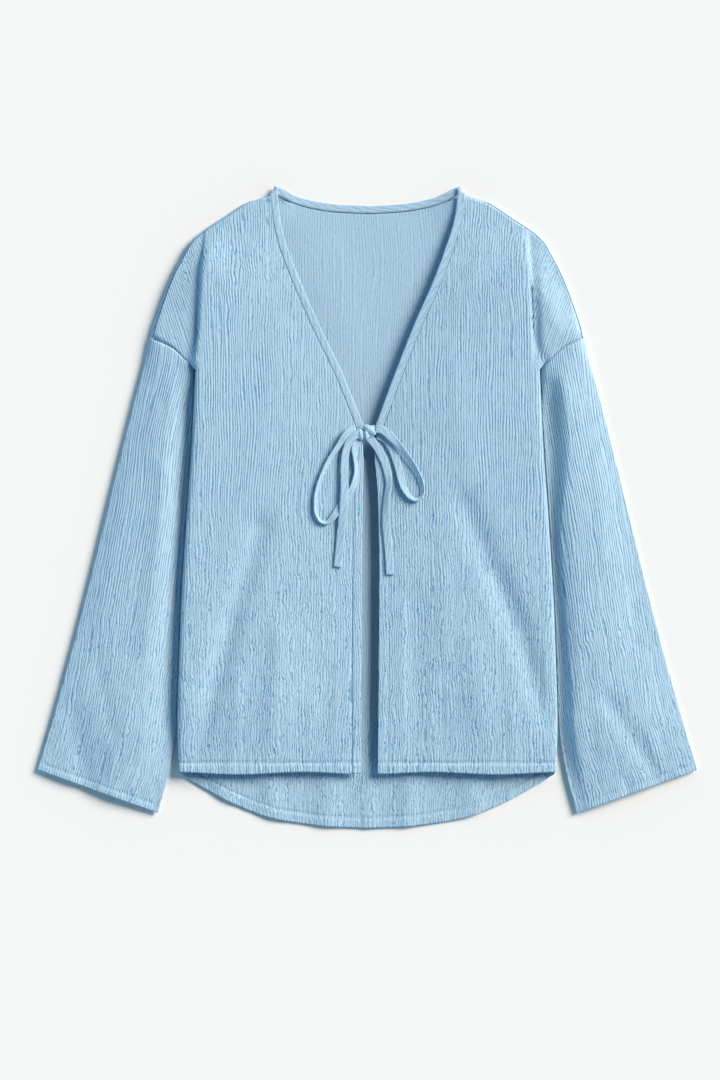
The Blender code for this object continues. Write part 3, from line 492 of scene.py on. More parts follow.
@dataclass(frozen=True)
class JacketForm:
    """The cut's edges, as the solids have them, and the heights at which the cloth lies."""

    hem_y: float = -308.0
    underarm_y: float = 161.0
    side_seam_z: float = 8.0
    shoulder_seam_z: float = 9.0
    chest_rise: float = 1.0
    hem_z: float = 12.4
    side_curl: float = 11.0
    neck_lift: float = 3.3
    cuff_top_z: float = 7.8
    sleeve_edge_z: float = 5.0
    seam_gap: float = 0.3
    neck_outward: tuple[float, float] = (0.3, 0.954)
    side_edge: Table = ((-311, 220), (-250, 221.8), (-170, 219.5), (-100, 216.7),
                        (-10, 211), (70, 205.3), (161, 201))
    crest: Table = ((-311, 207), (-170, 206), (-10, 198), (70, 192.5),
                    (161, 191), (235, 189), (333, 183.5))
    armhole: Table = ((201, 161), (224, 184), (240, 193), (254, 199))
    shoulder: Table = ((254, 199), (248.6, 220), (231.5, 266.8), (215, 299.5), (206, 313.6),
                       (189.5, 327.6), (168, 341.6), (147, 355.7), (130.5, 362.7), (114.5, 368))
    back_hem: Table = ((0, -374.5), (52, -372), (104, -364.5), (130, -357),
                       (161, -344), (187, -330), (209, -317.5), (220, -311))
    neck_seam: Table = ((0, 343.5), (42.7, 346), (73, 351.5), (92, 358), (104, 364.5))
    sleeve_outer: Table = ((254.6, 198), (259.8, 173), (272, 126), (301.2, 9.4),
                           (330, -107.6), (361.5, -224.6), (385.5, -306))
    sleeve_inner: Table = ((203, 159.5), (207.6, 70), (213, -10), (218.6, -100), (221.6, -170),
                           (224.2, -250), (227.5, -282), (234, -316), (245, -356.5))

    def lay(self, side: Side) -> Lay:
        """Give how a side lies."""
        return LEFT_LAY if side is Side.LEFT else RIGHT_LAY

    def edge_z(self, side: Side, y: Array) -> Array:
        """Give the height of a front's edge along the jacket."""
        lay = self.lay(side)
        return mix(lay.front_edge_z, lay.neck_edge_z, ease((y - 60.0) / 80.0))

    def front_z(self, side: Side, share: Values, x: Array, y: Array) -> Array:
        """Give the front's height over the body.

        Args:
            side: Which front is meant.
            share: Share of the way from its crest to its edge.
            x: Millimetres from the middle.
            y: Millimetres along the jacket.

        Returns:
            The height of its upper face, without crinkle.
        """
        lay = self.lay(side)
        z = mix(lay.crest_z, self.edge_z(side, y), share) + self.chest_rise * np.sin(np.pi * share)
        inside = np.sqrt(np.maximum(np.sin(np.pi * np.minimum(share + 0.15, 1.0)), 0.0))
        z = z + inside * (fold_height(lay.folds, x, y) + fold_height(lay.soft_folds, x, y))
        near_hem = 1.0 - ease((y - self.hem_y) / 90.0)
        return mix(z, self.hem_z + 0.35 * (z - lay.crest_z), near_hem)

    def front_z_at(self, x: float, y: float) -> float:
        """Give the height of the front at a place below the underarm."""
        side = Side.LEFT if x < 0.0 else Side.RIGHT
        edge = float(read_table(self.lay(side).front_edge, y))
        crest = float(read_table(self.crest, y))
        share = min(max((crest - abs(x)) / (crest - edge), 0.0), 1.0)
        return float(self.front_z(side, share, np.array(abs(x)), np.array(y)))

    def shoulder_outward(self, shares: Array) -> Array:
        """Give the way out of the body at shares of the shoulder's length."""
        ahead = along(self.shoulder, np.minimum(shares + 0.004, 1.0))
        run = ahead - along(self.shoulder, np.maximum(shares - 0.004, 0.0))
        outward = unit(np.stack((run[:, 1], -run[:, 0]), axis=-1))
        return unit(mix(outward, np.array(self.neck_outward), ease((shares - 0.9) / 0.1)[:, None]))

    def shoulder_seam(self, shares: Array) -> Array:
        """Give the front's side of the shoulder seam."""
        return along(self.shoulder, shares) - (3.0 + self.seam_gap) * self.shoulder_outward(shares)

    def crest_share(self) -> float:
        """Give the share of the shoulder at which the body's fold reaches it."""
        shares = even_shares(200)
        return float(np.interp(-self.crest[-1][1], -along(self.shoulder, shares)[:, 0], shares))

    def tube_z(self, share: Values, edge: float, top: float) -> Array:
        """Give the height of a flattened tube's upper side at a share of its width."""
        return edge + (top - edge) * np.sqrt(np.maximum(0.0, 1.0 - np.abs(2.0 * share - 1.0) ** 4))

    def sleeve_z(self, share: Array, top: float, open_share: float, sink_share: float) -> Array:
        """Give the height of a sleeve's upper side, low beside the body and soft toward its outer edge.

        Args:
            share: Share of its width, from the outer edge.
            top: Its greatest height.
            open_share: 0 at the armhole's seam, 1 where the sleeve hangs free of it.
            sink_share: Share of the width over which it sinks toward the body.

        Returns:
            The height across it.
        """
        inner = ease((1.0 - share) / sink_share)
        outer = 0.12 + 0.88 * np.sin(0.5 * np.pi * np.clip(share / 0.7, 0.0, 1.0))
        low = (top - self.sleeve_edge_z) * np.minimum(inner, outer)
        tube = self.tube_z(share, self.sleeve_edge_z, top)
        return mix(tube, np.minimum(tube, self.sleeve_edge_z + low), open_share)

    def neck_raise(self, x: Array, y: Array) -> Array:
        """Give how far the back rises toward the ends of its neck."""
        return self.neck_lift * bell(np.abs(x) - 110.0, 26.0) * ease((y - 310.0) / 45.0)


FORM = JacketForm()


# Finishes


def linear(colour: str) -> tuple[float, float, float, float]:
    """Turn six sRGB hex digits after a hash into linear red, green, blue and an alpha of 1."""
    channels = [int(colour[k:k + 2], 16) / 255.0 for k in (1, 3, 5)]
    return (*(c / 12.92 if c <= 0.04045 else ((c + 0.055) / 1.055) ** 2.4 for c in channels), 1.0)


def add_node(tree: bpy.types.NodeTree, kind: str, settings: dict | None = None,
             values: dict | None = None, links: dict | None = None) -> bpy.types.Node:
    """Add a node with its settings and links.

    Args:
        tree: The material's node tree.
        kind: The node's type.
        settings: Properties by name.
        values: Input values by name or number.
        links: Sockets to link from, by input name or number.

    Returns:
        The new node.
    """
    node = tree.nodes.new(kind)
    for key, value in (settings or {}).items():
        setattr(node, key, value)
    for key, value in (values or {}).items():
        node.inputs[key].default_value = value
    for key, socket in (links or {}).items():
        tree.links.new(socket, node.inputs[key])
    return node


def start_finish(name: str, values: dict) -> tuple[bpy.types.Material, bpy.types.Node]:
    """Start a material with some of its shader's input values, and give it with the shader."""
    finish = bpy.data.materials.new(name)
    finish.use_nodes = True
    shader = finish.node_tree.nodes["Principled BSDF"]
    for key, value in values.items():
        shader.inputs[key].default_value = value
    return finish, shader


def dress(shader: bpy.types.Node, tone: bpy.types.NodeSocket, height: bpy.types.NodeSocket,
          colours: tuple[str, str], start: float, strength: float, depth: float) -> None:
    """Give a shader two tones and a bump.

    Args:
        shader: The shader.
        tone: 0 for the first colour, 1 for the second.
        height: The bump's height.
        colours: The two colours, in hex.
        start: The tone up to which the first colour stays.
        strength: The bump's strength.
        depth: The bump's depth in millimetres.
    """
    tree = shader.id_data
    colour = add_node(tree, "ShaderNodeValToRGB", links={"Fac": tone})
    low, high = colour.color_ramp.elements
    low.position = start
    low.color, high.color = (linear(code) for code in colours)
    bump = add_node(tree, "ShaderNodeBump", values={"Strength": strength, "Distance": depth * MM},
                    links={"Height": height})
    tree.links.new(colour.outputs["Color"], shader.inputs["Base Color"])
    tree.links.new(bump.outputs["Normal"], shader.inputs["Normal"])


@dataclass(frozen=True)
class CrepeCotton:
    """Light cotton crepe, woven and then shrunk into lengthwise crinkles.

    The eye sees a matt cloth with pale ridges, a fine broken grain along them and a little fuzz that
    brightens it at grazing angles; the deeper blue in its narrow valleys is painted shade.
    """

    name: str
    # The ridge colour is the cloth's own; the valley colour is painted shade that darkens the crinkle's
    # valleys
    ridge: str = "#AECCE1"
    valley: str = "#6E9BBE"
    # Spacing and length of the grain on the ribs, in millimetres
    grain_pitch: float = 1.5
    grain_run: float = 4.0
    bump_depth: float = 0.34
    mean_rise: float = 0.64
    roughness: float = 0.88

    def build(self) -> bpy.types.Material:
        """Make the material from the piece's own cloth map."""
        finish, shader = start_finish(self.name, {"Roughness": self.roughness, "Specular IOR Level": 0.22,
                                                  "Sheen Weight": 0.12, "Sheen Roughness": 0.5})
        tree = finish.node_tree
        chart = add_node(tree, "ShaderNodeUVMap", {"uv_map": "cloth"}).outputs["UV"]

        def pattern(pitch: float, run: float, distortion: float = 0.0) -> bpy.types.NodeSocket:
            """Add a noise stretched along the cloth."""
            scaled = add_node(tree, "ShaderNodeMapping", None,
                              {"Scale": (1.0 / (pitch * MM), 1.0 / (run * MM), 1.0)}, {"Vector": chart})
            noise = add_node(tree, "ShaderNodeTexNoise", {"noise_dimensions": "2D"},
                             {"Scale": 1.0, "Detail": 1.0, "Roughness": 0.5, "Distortion": distortion},
                             {"Vector": scaled.outputs["Vector"]})
            return noise.outputs["Fac"]

        def calculate(operation: str, *terms: bpy.types.NodeSocket | float) -> bpy.types.NodeSocket:
            """Calculate with sockets and constants."""
            constants = {k: term for k, term in enumerate(terms) if isinstance(term, float)}
            sockets = {k: term for k, term in enumerate(terms) if not isinstance(term, float)}
            return add_node(tree, "ShaderNodeMath", {"operation": operation}, constants, sockets).outputs[0]

        ribs, rough, depth = (add_node(tree, "ShaderNodeAttribute", {"attribute_name": name}).outputs["Fac"]
                              for name in ("ribs", "rough", "depth"))
        # The fine waver of each valley, stronger in the net
        waver = calculate("SUBTRACT", pattern(2.8, 6.5), 0.5)
        waver = calculate("MULTIPLY", waver, calculate("MULTIPLY_ADD", rough, 0.9, 0.35))
        arch = calculate("SINE", calculate("MULTIPLY", calculate("ADD", ribs, waver), math.pi))
        arch = calculate("ABSOLUTE", arch)
        # Patches in which the crinkle's bump and painted valley shade are clear, and others in which they are
        # faint
        clear = add_node(tree, "ShaderNodeMapRange", {"interpolation_type": "SMOOTHSTEP"},
                         {"From Min": 0.3, "From Max": 0.62, "To Min": 0.35},
                         {"Value": pattern(6.5, 19.0)}).outputs["Result"]
        strength = calculate("MULTIPLY", clear, depth)
        rise = add_node(tree, "ShaderNodeMix", None, {"A": self.mean_rise},
                        {"Factor": strength, "B": arch}).outputs["Result"]
        grain = pattern(self.grain_pitch, self.grain_run, 0.3)
        broad = pattern(46.0, 90.0)
        # The tone: random broad tone and grain, plus painted shade that darkens the crinkle's valleys
        tone_and_painted_shade = calculate("MULTIPLY_ADD", broad, 0.16, calculate("MULTIPLY_ADD", grain, 0.34, rise))
        height = calculate("MULTIPLY_ADD", grain, 0.4, rise)
        dress(shader, tone_and_painted_shade, height, (self.valley, self.ridge), start=0.28, strength=0.9,
              depth=self.bump_depth)
        return finish


@dataclass(frozen=True)
class SewingThread:
    """Spun polyester sewing thread dyed to the cloth: smoother than it, with a slight gloss."""

    name: str = "spun_polyester_thread"
    colour: str = "#93B9D8"
    shade: str = "#7BA5CA"
    ply: float = 0.5

    def build(self) -> bpy.types.Material:
        """Make the material, with the thread's twist as bump on object coordinates."""
        finish, shader = start_finish(self.name, {"Roughness": 0.6})
        tree = finish.node_tree
        place = add_node(tree, "ShaderNodeTexCoord").outputs["Object"]
        twist = add_node(tree, "ShaderNodeTexNoise", None,
                         {"Scale": 1.0 / (self.ply * MM), "Detail": 1.0}, {"Vector": place}).outputs["Fac"]
        dress(shader, twist, twist, (self.shade, self.colour), start=0.0, strength=0.5, depth=0.1)
        return finish


# Pieces


# From one stitch to the next, a stitch's length and the thread's width, in millimetres
STITCH_PITCH, STITCH_LENGTH, THREAD_WIDTH = 3.4, 2.7, 0.55


def stitch_line(mesh: bmesh.types.BMesh, line: Array, lift: float = 0.1) -> None:
    """Sew a row of stitches along a line on the cloth.

    Args:
        mesh: The mesh that takes them.
        line: Points on the cloth, in millimetres.
        lift: How far a stitch's middle lies above the line.
    """
    lengths = arc_lengths(line)
    size = Matrix.Diagonal((0.5 * STITCH_LENGTH * MM, 0.5 * THREAD_WIDTH * MM, 0.4 * THREAD_WIDTH * MM, 1.0))
    for k in range(int(lengths[-1] / STITCH_PITCH)):
        start, stop = (read_at(line, lengths, (k + at) * STITCH_PITCH)
                       for at in (0.12, 0.12 + STITCH_LENGTH / STITCH_PITCH))
        middle = Vector(0.5 * (start + stop)) * MM
        turn = Vector(stop - start).to_track_quat("X", "Z").to_matrix().to_4x4()
        raised = Matrix.Translation(middle + Vector((0.0, 0.0, lift * MM)))
        bmesh.ops.create_uvsphere(mesh, u_segments=6, v_segments=4, radius=1.0, matrix=raised @ turn @ size)


@dataclass
class FrontPanel:
    """A front: from side seam to opening, with the dropped shoulder above the armhole."""

    side: Side
    finish: bpy.types.Material
    side_columns: int = 34
    front_columns: int = 224
    lower_rows: int = 130
    upper_rows: int = 56
    crinkle: float = 0.29
    straightest: float = 0.2
    hem_turn: float = 13.0
    edge_turn: float = 10.5
    # The turned front edge ends here, under the knot
    edge_ends_y: float = 90.0
    squareness: float = 0.5
    crest_sinks_from: float = 0.7
    wing_slant: float = 0.35
    turn_rise: float = 0.7
    wall: float = 0.9

    def side_profile(self) -> tuple[Array, Array]:
        """Give shares across and up a quarter turn, from the side seam to the crest."""
        angle = 0.5 * math.pi * even_shares(self.side_columns + 1)[:-1]
        return 1.0 - np.cos(angle) ** self.squareness, np.sin(angle) ** self.squareness

    def lower(self) -> Array:
        """Give the smooth rows from hem to underarm."""
        y = mix(FORM.hem_y, FORM.underarm_y, dense_start(self.lower_rows, 13, 0.045))[:, None]
        seam, crest = read_table(FORM.side_edge, y), read_table(FORM.crest, y)
        edge = read_table(FORM.lay(self.side).front_edge, y)
        across, up = self.side_profile()
        x = mix(seam, crest, across[None])
        top = FORM.front_z(self.side, 0.0, crest, y)
        z = mix(FORM.side_seam_z + FORM.seam_gap, top, up[None])
        share = even_shares(self.front_columns + 1)[None]
        over_x = mix(crest, edge, share)
        over_z = FORM.front_z(self.side, share, over_x, y)
        x, z = np.concatenate((x, over_x), axis=1), np.concatenate((z, over_z), axis=1)
        low = 1.0 - ease((y - FORM.hem_y) / 60.0)
        swing = -1.6 - 1.4 * np.cos(x / 24.0) * ease(x / 30.0)
        return np.stack((x, y + low * swing, z), axis=-1)

    def upper(self, start: Array) -> Array:
        """Give the smooth rows from underarm to shoulder, above the row at the underarm."""
        even = even_shares(self.upper_rows + 1)
        at_crest = FORM.crest_share()
        tip, crest_end, neck_end = FORM.shoulder_seam(np.array([0.0, at_crest, 1.0]))

        def up_to(end: Array, table: Table) -> Array:
            """Follow a table from the underarm up to a place on the shoulder seam."""
            levels = np.linspace(FORM.underarm_y, end[1], len(even))
            line = np.stack((read_table(table, levels), levels), axis=-1)
            line[:, 0] += (end[0] - line[-1, 0]) * even ** 6
            return line

        crest, neck = up_to(crest_end, FORM.crest), up_to(neck_end, FORM.lay(self.side).front_edge)
        armhole = along(FORM.armhole, even) - (FORM.seam_gap, 0.0)
        armhole += (tip - armhole[-1]) * (even ** 4)[:, None]
        flat = even_shares(self.side_columns + 1)
        wing_start = mix(start[0], start[self.side_columns], flat[:, None])
        wing_top = FORM.shoulder_seam(at_crest * flat)
        body_top = FORM.shoulder_seam(mix(at_crest, 1.0, even_shares(self.front_columns + 1)))
        wing = coons(wing_start, wing_top, armhole, crest)
        body = coons(start[self.side_columns:], body_top, crest, neck)
        return np.array([np.concatenate((self.wing_row(wing[r], r), self.body_row(body[r], r)))
                         for r in range(1, len(even))])

    def wing_row(self, row: Array, r: int) -> Array:
        """Give the points of a row of the dropped shoulder outside the body's fold.

        Args:
            row: Its places in plan, evenly spaced from armhole to crest.
            r: Its number above the underarm.
        """
        lay = FORM.lay(self.side)
        up_share = r / self.upper_rows
        opened = float(ease(up_share / 0.3))
        width = float(np.linalg.norm(row[0] - row[-1]))
        across, up = self.side_profile()
        c = even_shares(self.side_columns + 1)[:-1]
        flat_part = 5.0 / 9.0
        drop_from = max(0.0, 1.0 - lay.drop_width / width)
        angle = 0.5 * math.pi * np.clip((c - flat_part) / (1.0 - flat_part), 0.0, 1.0)
        drop_share = mix(drop_from, 1.0, 1.0 - np.cos(angle) ** self.squareness)
        open_share = np.where(c < flat_part, drop_from * c / flat_part, drop_share)
        share = mix(across, open_share, opened)
        rise = mix(up, np.sin(angle) ** self.squareness, opened)
        place = read_at(row, even_shares(len(row)), share)
        sinks = ease((up_share - 0.55) / 0.45)
        crest_sinks = ease((up_share - self.crest_sinks_from) / (1.0 - self.crest_sinks_from))
        rim_z = FORM.side_seam_z + FORM.seam_gap
        flat = mix(lay.wing_z, FORM.shoulder_seam_z, sinks)
        rim = FORM.tube_z(up_share, rim_z, lay.wing_z)
        base = mix(rim, flat, ease(share / 0.4))
        top = mix(lay.crest_z, FORM.shoulder_seam_z, crest_sinks)
        valley = lay.valley * bell((1.0 - share) * width - 7.0, 8.5) * (1.0 - up_share ** 2)
        z = mix(mix(rim_z, lay.crest_z, up), mix(base, top, rise) - valley, opened)
        return np.column_stack((place, z))

    def body_row(self, row: Array, r: int) -> Array:
        """Give the points of a row between the crest and the neck, for what wing_row takes."""
        up_share = r / self.upper_rows
        share = even_shares(self.front_columns + 1)
        z = FORM.front_z(self.side, share, row[:, 0], row[:, 1])
        from_share = mix(self.crest_sinks_from, 0.5, ease(share / 0.4))
        sinks = ease((up_share - from_share) / (1.0 - from_share))
        return np.column_stack((row, mix(z, FORM.shoulder_seam_z, sinks)))

    def cloth(self) -> Cloth:
        """Give the creased cloth on this side."""
        lower = self.lower()
        points = np.concatenate((lower, self.upper(lower[-1, :, :2])))
        steps = np.linalg.norm(np.diff(points[..., ::2], axis=1), axis=2)
        from_edge = np.cumsum(steps[:, ::-1], axis=1)[:, ::-1]
        inside = np.concatenate((from_edge, np.zeros((len(points), 1))), axis=1)
        across = inside + points[:, -1:, 0]
        length = points[..., 1].copy()
        # On the dropped shoulder the ribs slant toward the body
        wing = slice(0, self.side_columns)
        above = length[:, wing] - FORM.underarm_y
        slanted = points[:, wing, 0] + 14.0 - self.wing_slant * above
        across[:, wing] = mix(across[:, wing], slanted, ease(above / 18.0))
        points[..., 0] *= self.side.sign
        cloth = Cloth(points, self.side.sign * across, length)
        rough = mix(self.straightest, 1.0, ease((120.0 - length) / 300.0))
        rough = rough + 0.5 * ease((length - 215.0) / 90.0)
        rough = np.clip(rough + 0.3 * CRINKLE.noise(across / 70.0, length / 90.0, ROUGH_LAYER), 0.0, 1.0)
        seam_side = np.linspace(0.0, 1.0, points.shape[1])[None] * points.shape[1] / 14.0
        amount = self.crinkle * mix(0.25, 1.0, ease(seam_side)) * mix(0.6, 1.0, ease(inside / 9.0))
        top = np.arange(len(points))[::-1, None] / 9.0
        amount = amount * mix(0.3, 1.0, ease(top))
        # The rib count jumps at the fold beside the dropped shoulder, so the crinkle fades there
        at_fold = (slice(self.lower_rows + 1, None), slice(self.side_columns - 1, self.side_columns + 1))
        amount[at_fold] *= 0.2
        above_hem = length - (FORM.hem_y - 2.0)
        open_edge = (inside < self.edge_turn) & (length < self.edge_ends_y - 2.0)
        hem_rise = 1.0 - ease((above_hem - self.hem_turn + 4.0) / 4.0)
        turned = self.turn_rise * np.maximum(hem_rise, 0.6 * open_edge)
        groove = bell(above_hem - self.hem_turn, 1.6)
        edge_groove = bell(inside - self.edge_turn, 1.4) * (length < self.edge_ends_y)
        pucker = 0.35 * CRINKLE.puckers(across, length, above_hem, 16.0)
        cloth.crease(amount, rough, -self.side.sign)
        cloth.depth[at_fold] = 0.05
        cloth.points[..., 2] += turned - np.maximum(groove, 0.5 * edge_groove) + pucker
        return cloth

    def build(self) -> Cloth:
        cloth = self.cloth()
        name = f"front_panel_{self.side.value}"
        mesh = grid_mesh(cloth.points, cloth.chart(), flipped=self.side is Side.RIGHT)
        piece = make_piece("crepe_" + name, mesh, self.finish, name, self.wall)
        return cloth


@dataclass
class BackPanel:
    """The back: flat on the surface, curled up at its sides and rolled over at the shoulders."""

    finish: bpy.types.Material
    edge_columns: int = 12
    shoulder_columns: int = 68
    neck_columns: int = 78
    lower_rows: int = 94
    upper_rows: int = 36
    roll_rows: int = 10
    crinkle: float = 0.27
    smooth_share: float = 0.45
    upper_z: float = 2.0
    hem_turn: float = 11.5
    turn_rise: float = 0.6
    neck_roll: float = 0.25
    tail_folds: Table = ((-172, -312, -166, -345, 11, 1.5), (-114, -312, -110, -364, 13, 1.8),
                         (-44, -312, -48, -374, 14, 1.7), (50, -312, 46, -374, 13, 1.9),
                         (120, -312, 124, -362, 14, 1.6), (0, -312, 2, -374, 11, 0.8))
    wall: float = 0.9
    # Outward, z, turn in degrees, outward at the flat neck
    roll: Table = ((-9, 0, 0, -9), (-4.6, 0.6, 20, -7.2), (-1.3, 2.5, 55, -5.4),
                   (0, 5, 90, -3.6), (-0.9, 7.5, 130, -1.8), (-3, 9, 180, 0))

    def shares(self) -> Array:
        """Give shares of the half width, from side to middle."""
        inset = 1.0 - FORM.side_curl / FORM.side_edge[-1][1]
        edge = np.linspace(1.0, inset, self.edge_columns + 1)
        shoulder = np.linspace(inset, 0.5, self.shoulder_columns + 1)[1:]
        neck = np.linspace(0.5, 0.0, self.neck_columns + 1)[1:]
        return np.concatenate((edge, shoulder, neck))

    def top(self) -> tuple[Array, Array, Array]:
        """Give places round the top, the way out of each, and how far it rolls over."""
        inset = 11.0 / 230.0
        shares = dense_start(self.edge_columns + self.shoulder_columns, self.edge_columns, inset)
        shoulder = along(FORM.shoulder, shares)
        outward = FORM.shoulder_outward(shares)
        neck_shares = even_shares(self.neck_columns + 1)[1:]
        neck = along(FORM.neck_seam[::-1], neck_shares)
        neck_out = mix(np.array(FORM.neck_outward), np.array((0.0, 1.0)), ease(neck_shares / 0.15)[:, None])
        rolled = np.concatenate((mix(1.0, self.neck_roll, ease((shares - 0.87) / 0.13)),
                                 self.neck_roll * (1.0 - ease(neck_shares / 0.2))))
        return np.vstack((shoulder, neck)), np.vstack((outward, neck_out)), rolled

    def half(self) -> tuple[Array, Array]:
        """Give the right half's underside and the way up through the cloth at each point."""
        shares = self.shares()[None]
        level = dense_start(self.lower_rows, 12, 0.04)[:, None]
        side = read_table(FORM.side_edge, mix(FORM.side_edge[0][0], FORM.underarm_y, level))
        x = side * shares
        y = mix(read_table(FORM.back_hem, x), FORM.underarm_y, level)
        curl = FORM.side_seam_z * np.maximum(0.0, 1.0 - (side - x) / FORM.side_curl) ** 2.2
        rows = [*np.stack((x, y, curl), axis=-1)]
        top, outward, rolled = self.top()
        count = self.upper_rows + 1
        base = top + self.roll[0][0] * outward
        even = even_shares(count)
        armhole = along(FORM.armhole, even)
        armhole += even[:, None] * (base[0] - armhole[-1])
        middle = np.stack((np.zeros(count), np.linspace(FORM.underarm_y, base[-1][1], count)), axis=-1)
        patch = coons(rows[-1][:, :2], base, armhole, middle)
        last_curl = rows[-1][:, 2]
        for r in range(1, count):
            flatten = 1.0 - ease(r / (count - 1) / 0.25)
            z = last_curl * flatten + FORM.neck_raise(patch[r][:, 0], patch[r][:, 1])
            rows.append(np.column_stack((patch[r], z)))
        half = np.array(rows)
        down, over = np.gradient(half, axis=0), np.gradient(half, axis=1)
        inward = unit(np.cross(over, down))
        inward[inward[..., 2] < 0.0] *= -1.0
        table = smooth_path(self.roll, 8)
        extra, into = [], []
        for step in even_shares(self.roll_rows + 1)[1:]:
            out, z_step, turn, neck_out = read_at(table, even_shares(len(table)), step)
            spot = top + mix(neck_out, out, rolled)[:, None] * outward
            z = z_step * rolled
            lift = FORM.neck_raise(spot[:, 0], spot[:, 1]) * (1.0 - z / FORM.shoulder_seam_z)
            angle = np.radians(turn * rolled)
            extra.append(np.column_stack((spot, z + lift)))
            into.append(np.column_stack((-np.sin(angle)[:, None] * outward, np.cos(angle))))
        return np.concatenate((half, extra)), np.concatenate((inward, into))

    def build(self) -> Cloth:
        half, inward = self.half()
        flip = np.array((-1.0, 1.0, 1.0))
        under = np.concatenate((half[:, :-1] * flip, half[:, ::-1]), axis=1)
        inward = np.concatenate((inward[:, :-1] * flip, inward[:, ::-1]), axis=1)
        rows, columns = under.shape[:2]
        across, length = under[..., 0].copy(), under[..., 1].copy()
        rough = mix(0.15, 1.0, ease((-200.0 - length) / 100.0))
        relief = CRINKLE.height(across, length, rough)
        from_side = np.minimum(np.arange(columns), np.arange(columns)[::-1])[None] / (self.edge_columns + 4.0)
        from_top = np.maximum(np.arange(rows)[::-1, None] - self.roll_rows, 0) / 5.0
        deep = mix(1.0, self.smooth_share, ease((length + 290.0) / 80.0))
        amount = self.crinkle * mix(0.15, 1.0, ease(from_side)) * mix(0.2, 1.0, ease(from_top)) * deep
        hem_x, hem_y = np.array(FORM.back_hem).T
        hem = np.interp(np.abs(across), hem_x, hem_y)
        slope = np.interp(np.abs(across), hem_x, np.gradient(hem_y, hem_x))
        above = (length - hem) / np.hypot(1.0, slope)
        lift = self.upper_z + amount * relief + self.turn_rise * (above < self.hem_turn)
        lift = lift + np.maximum(fold_height(self.tail_folds, across, length), -0.5)
        lift = lift - 1.1 * bell(above - self.hem_turn, 1.5)
        lift = lift + 0.25 * CRINKLE.puckers(across, length, above, 14.0)
        points = under + np.maximum(lift, self.wall + 0.05)[..., None] * inward
        cloth = Cloth(points, across, length, CRINKLE.ribs(across, length, rough), rough, deep)
        mesh = grid_mesh(points, cloth.chart())
        piece = make_piece("crepe_back_panel", mesh, self.finish, "back_panel", self.wall)
        return cloth


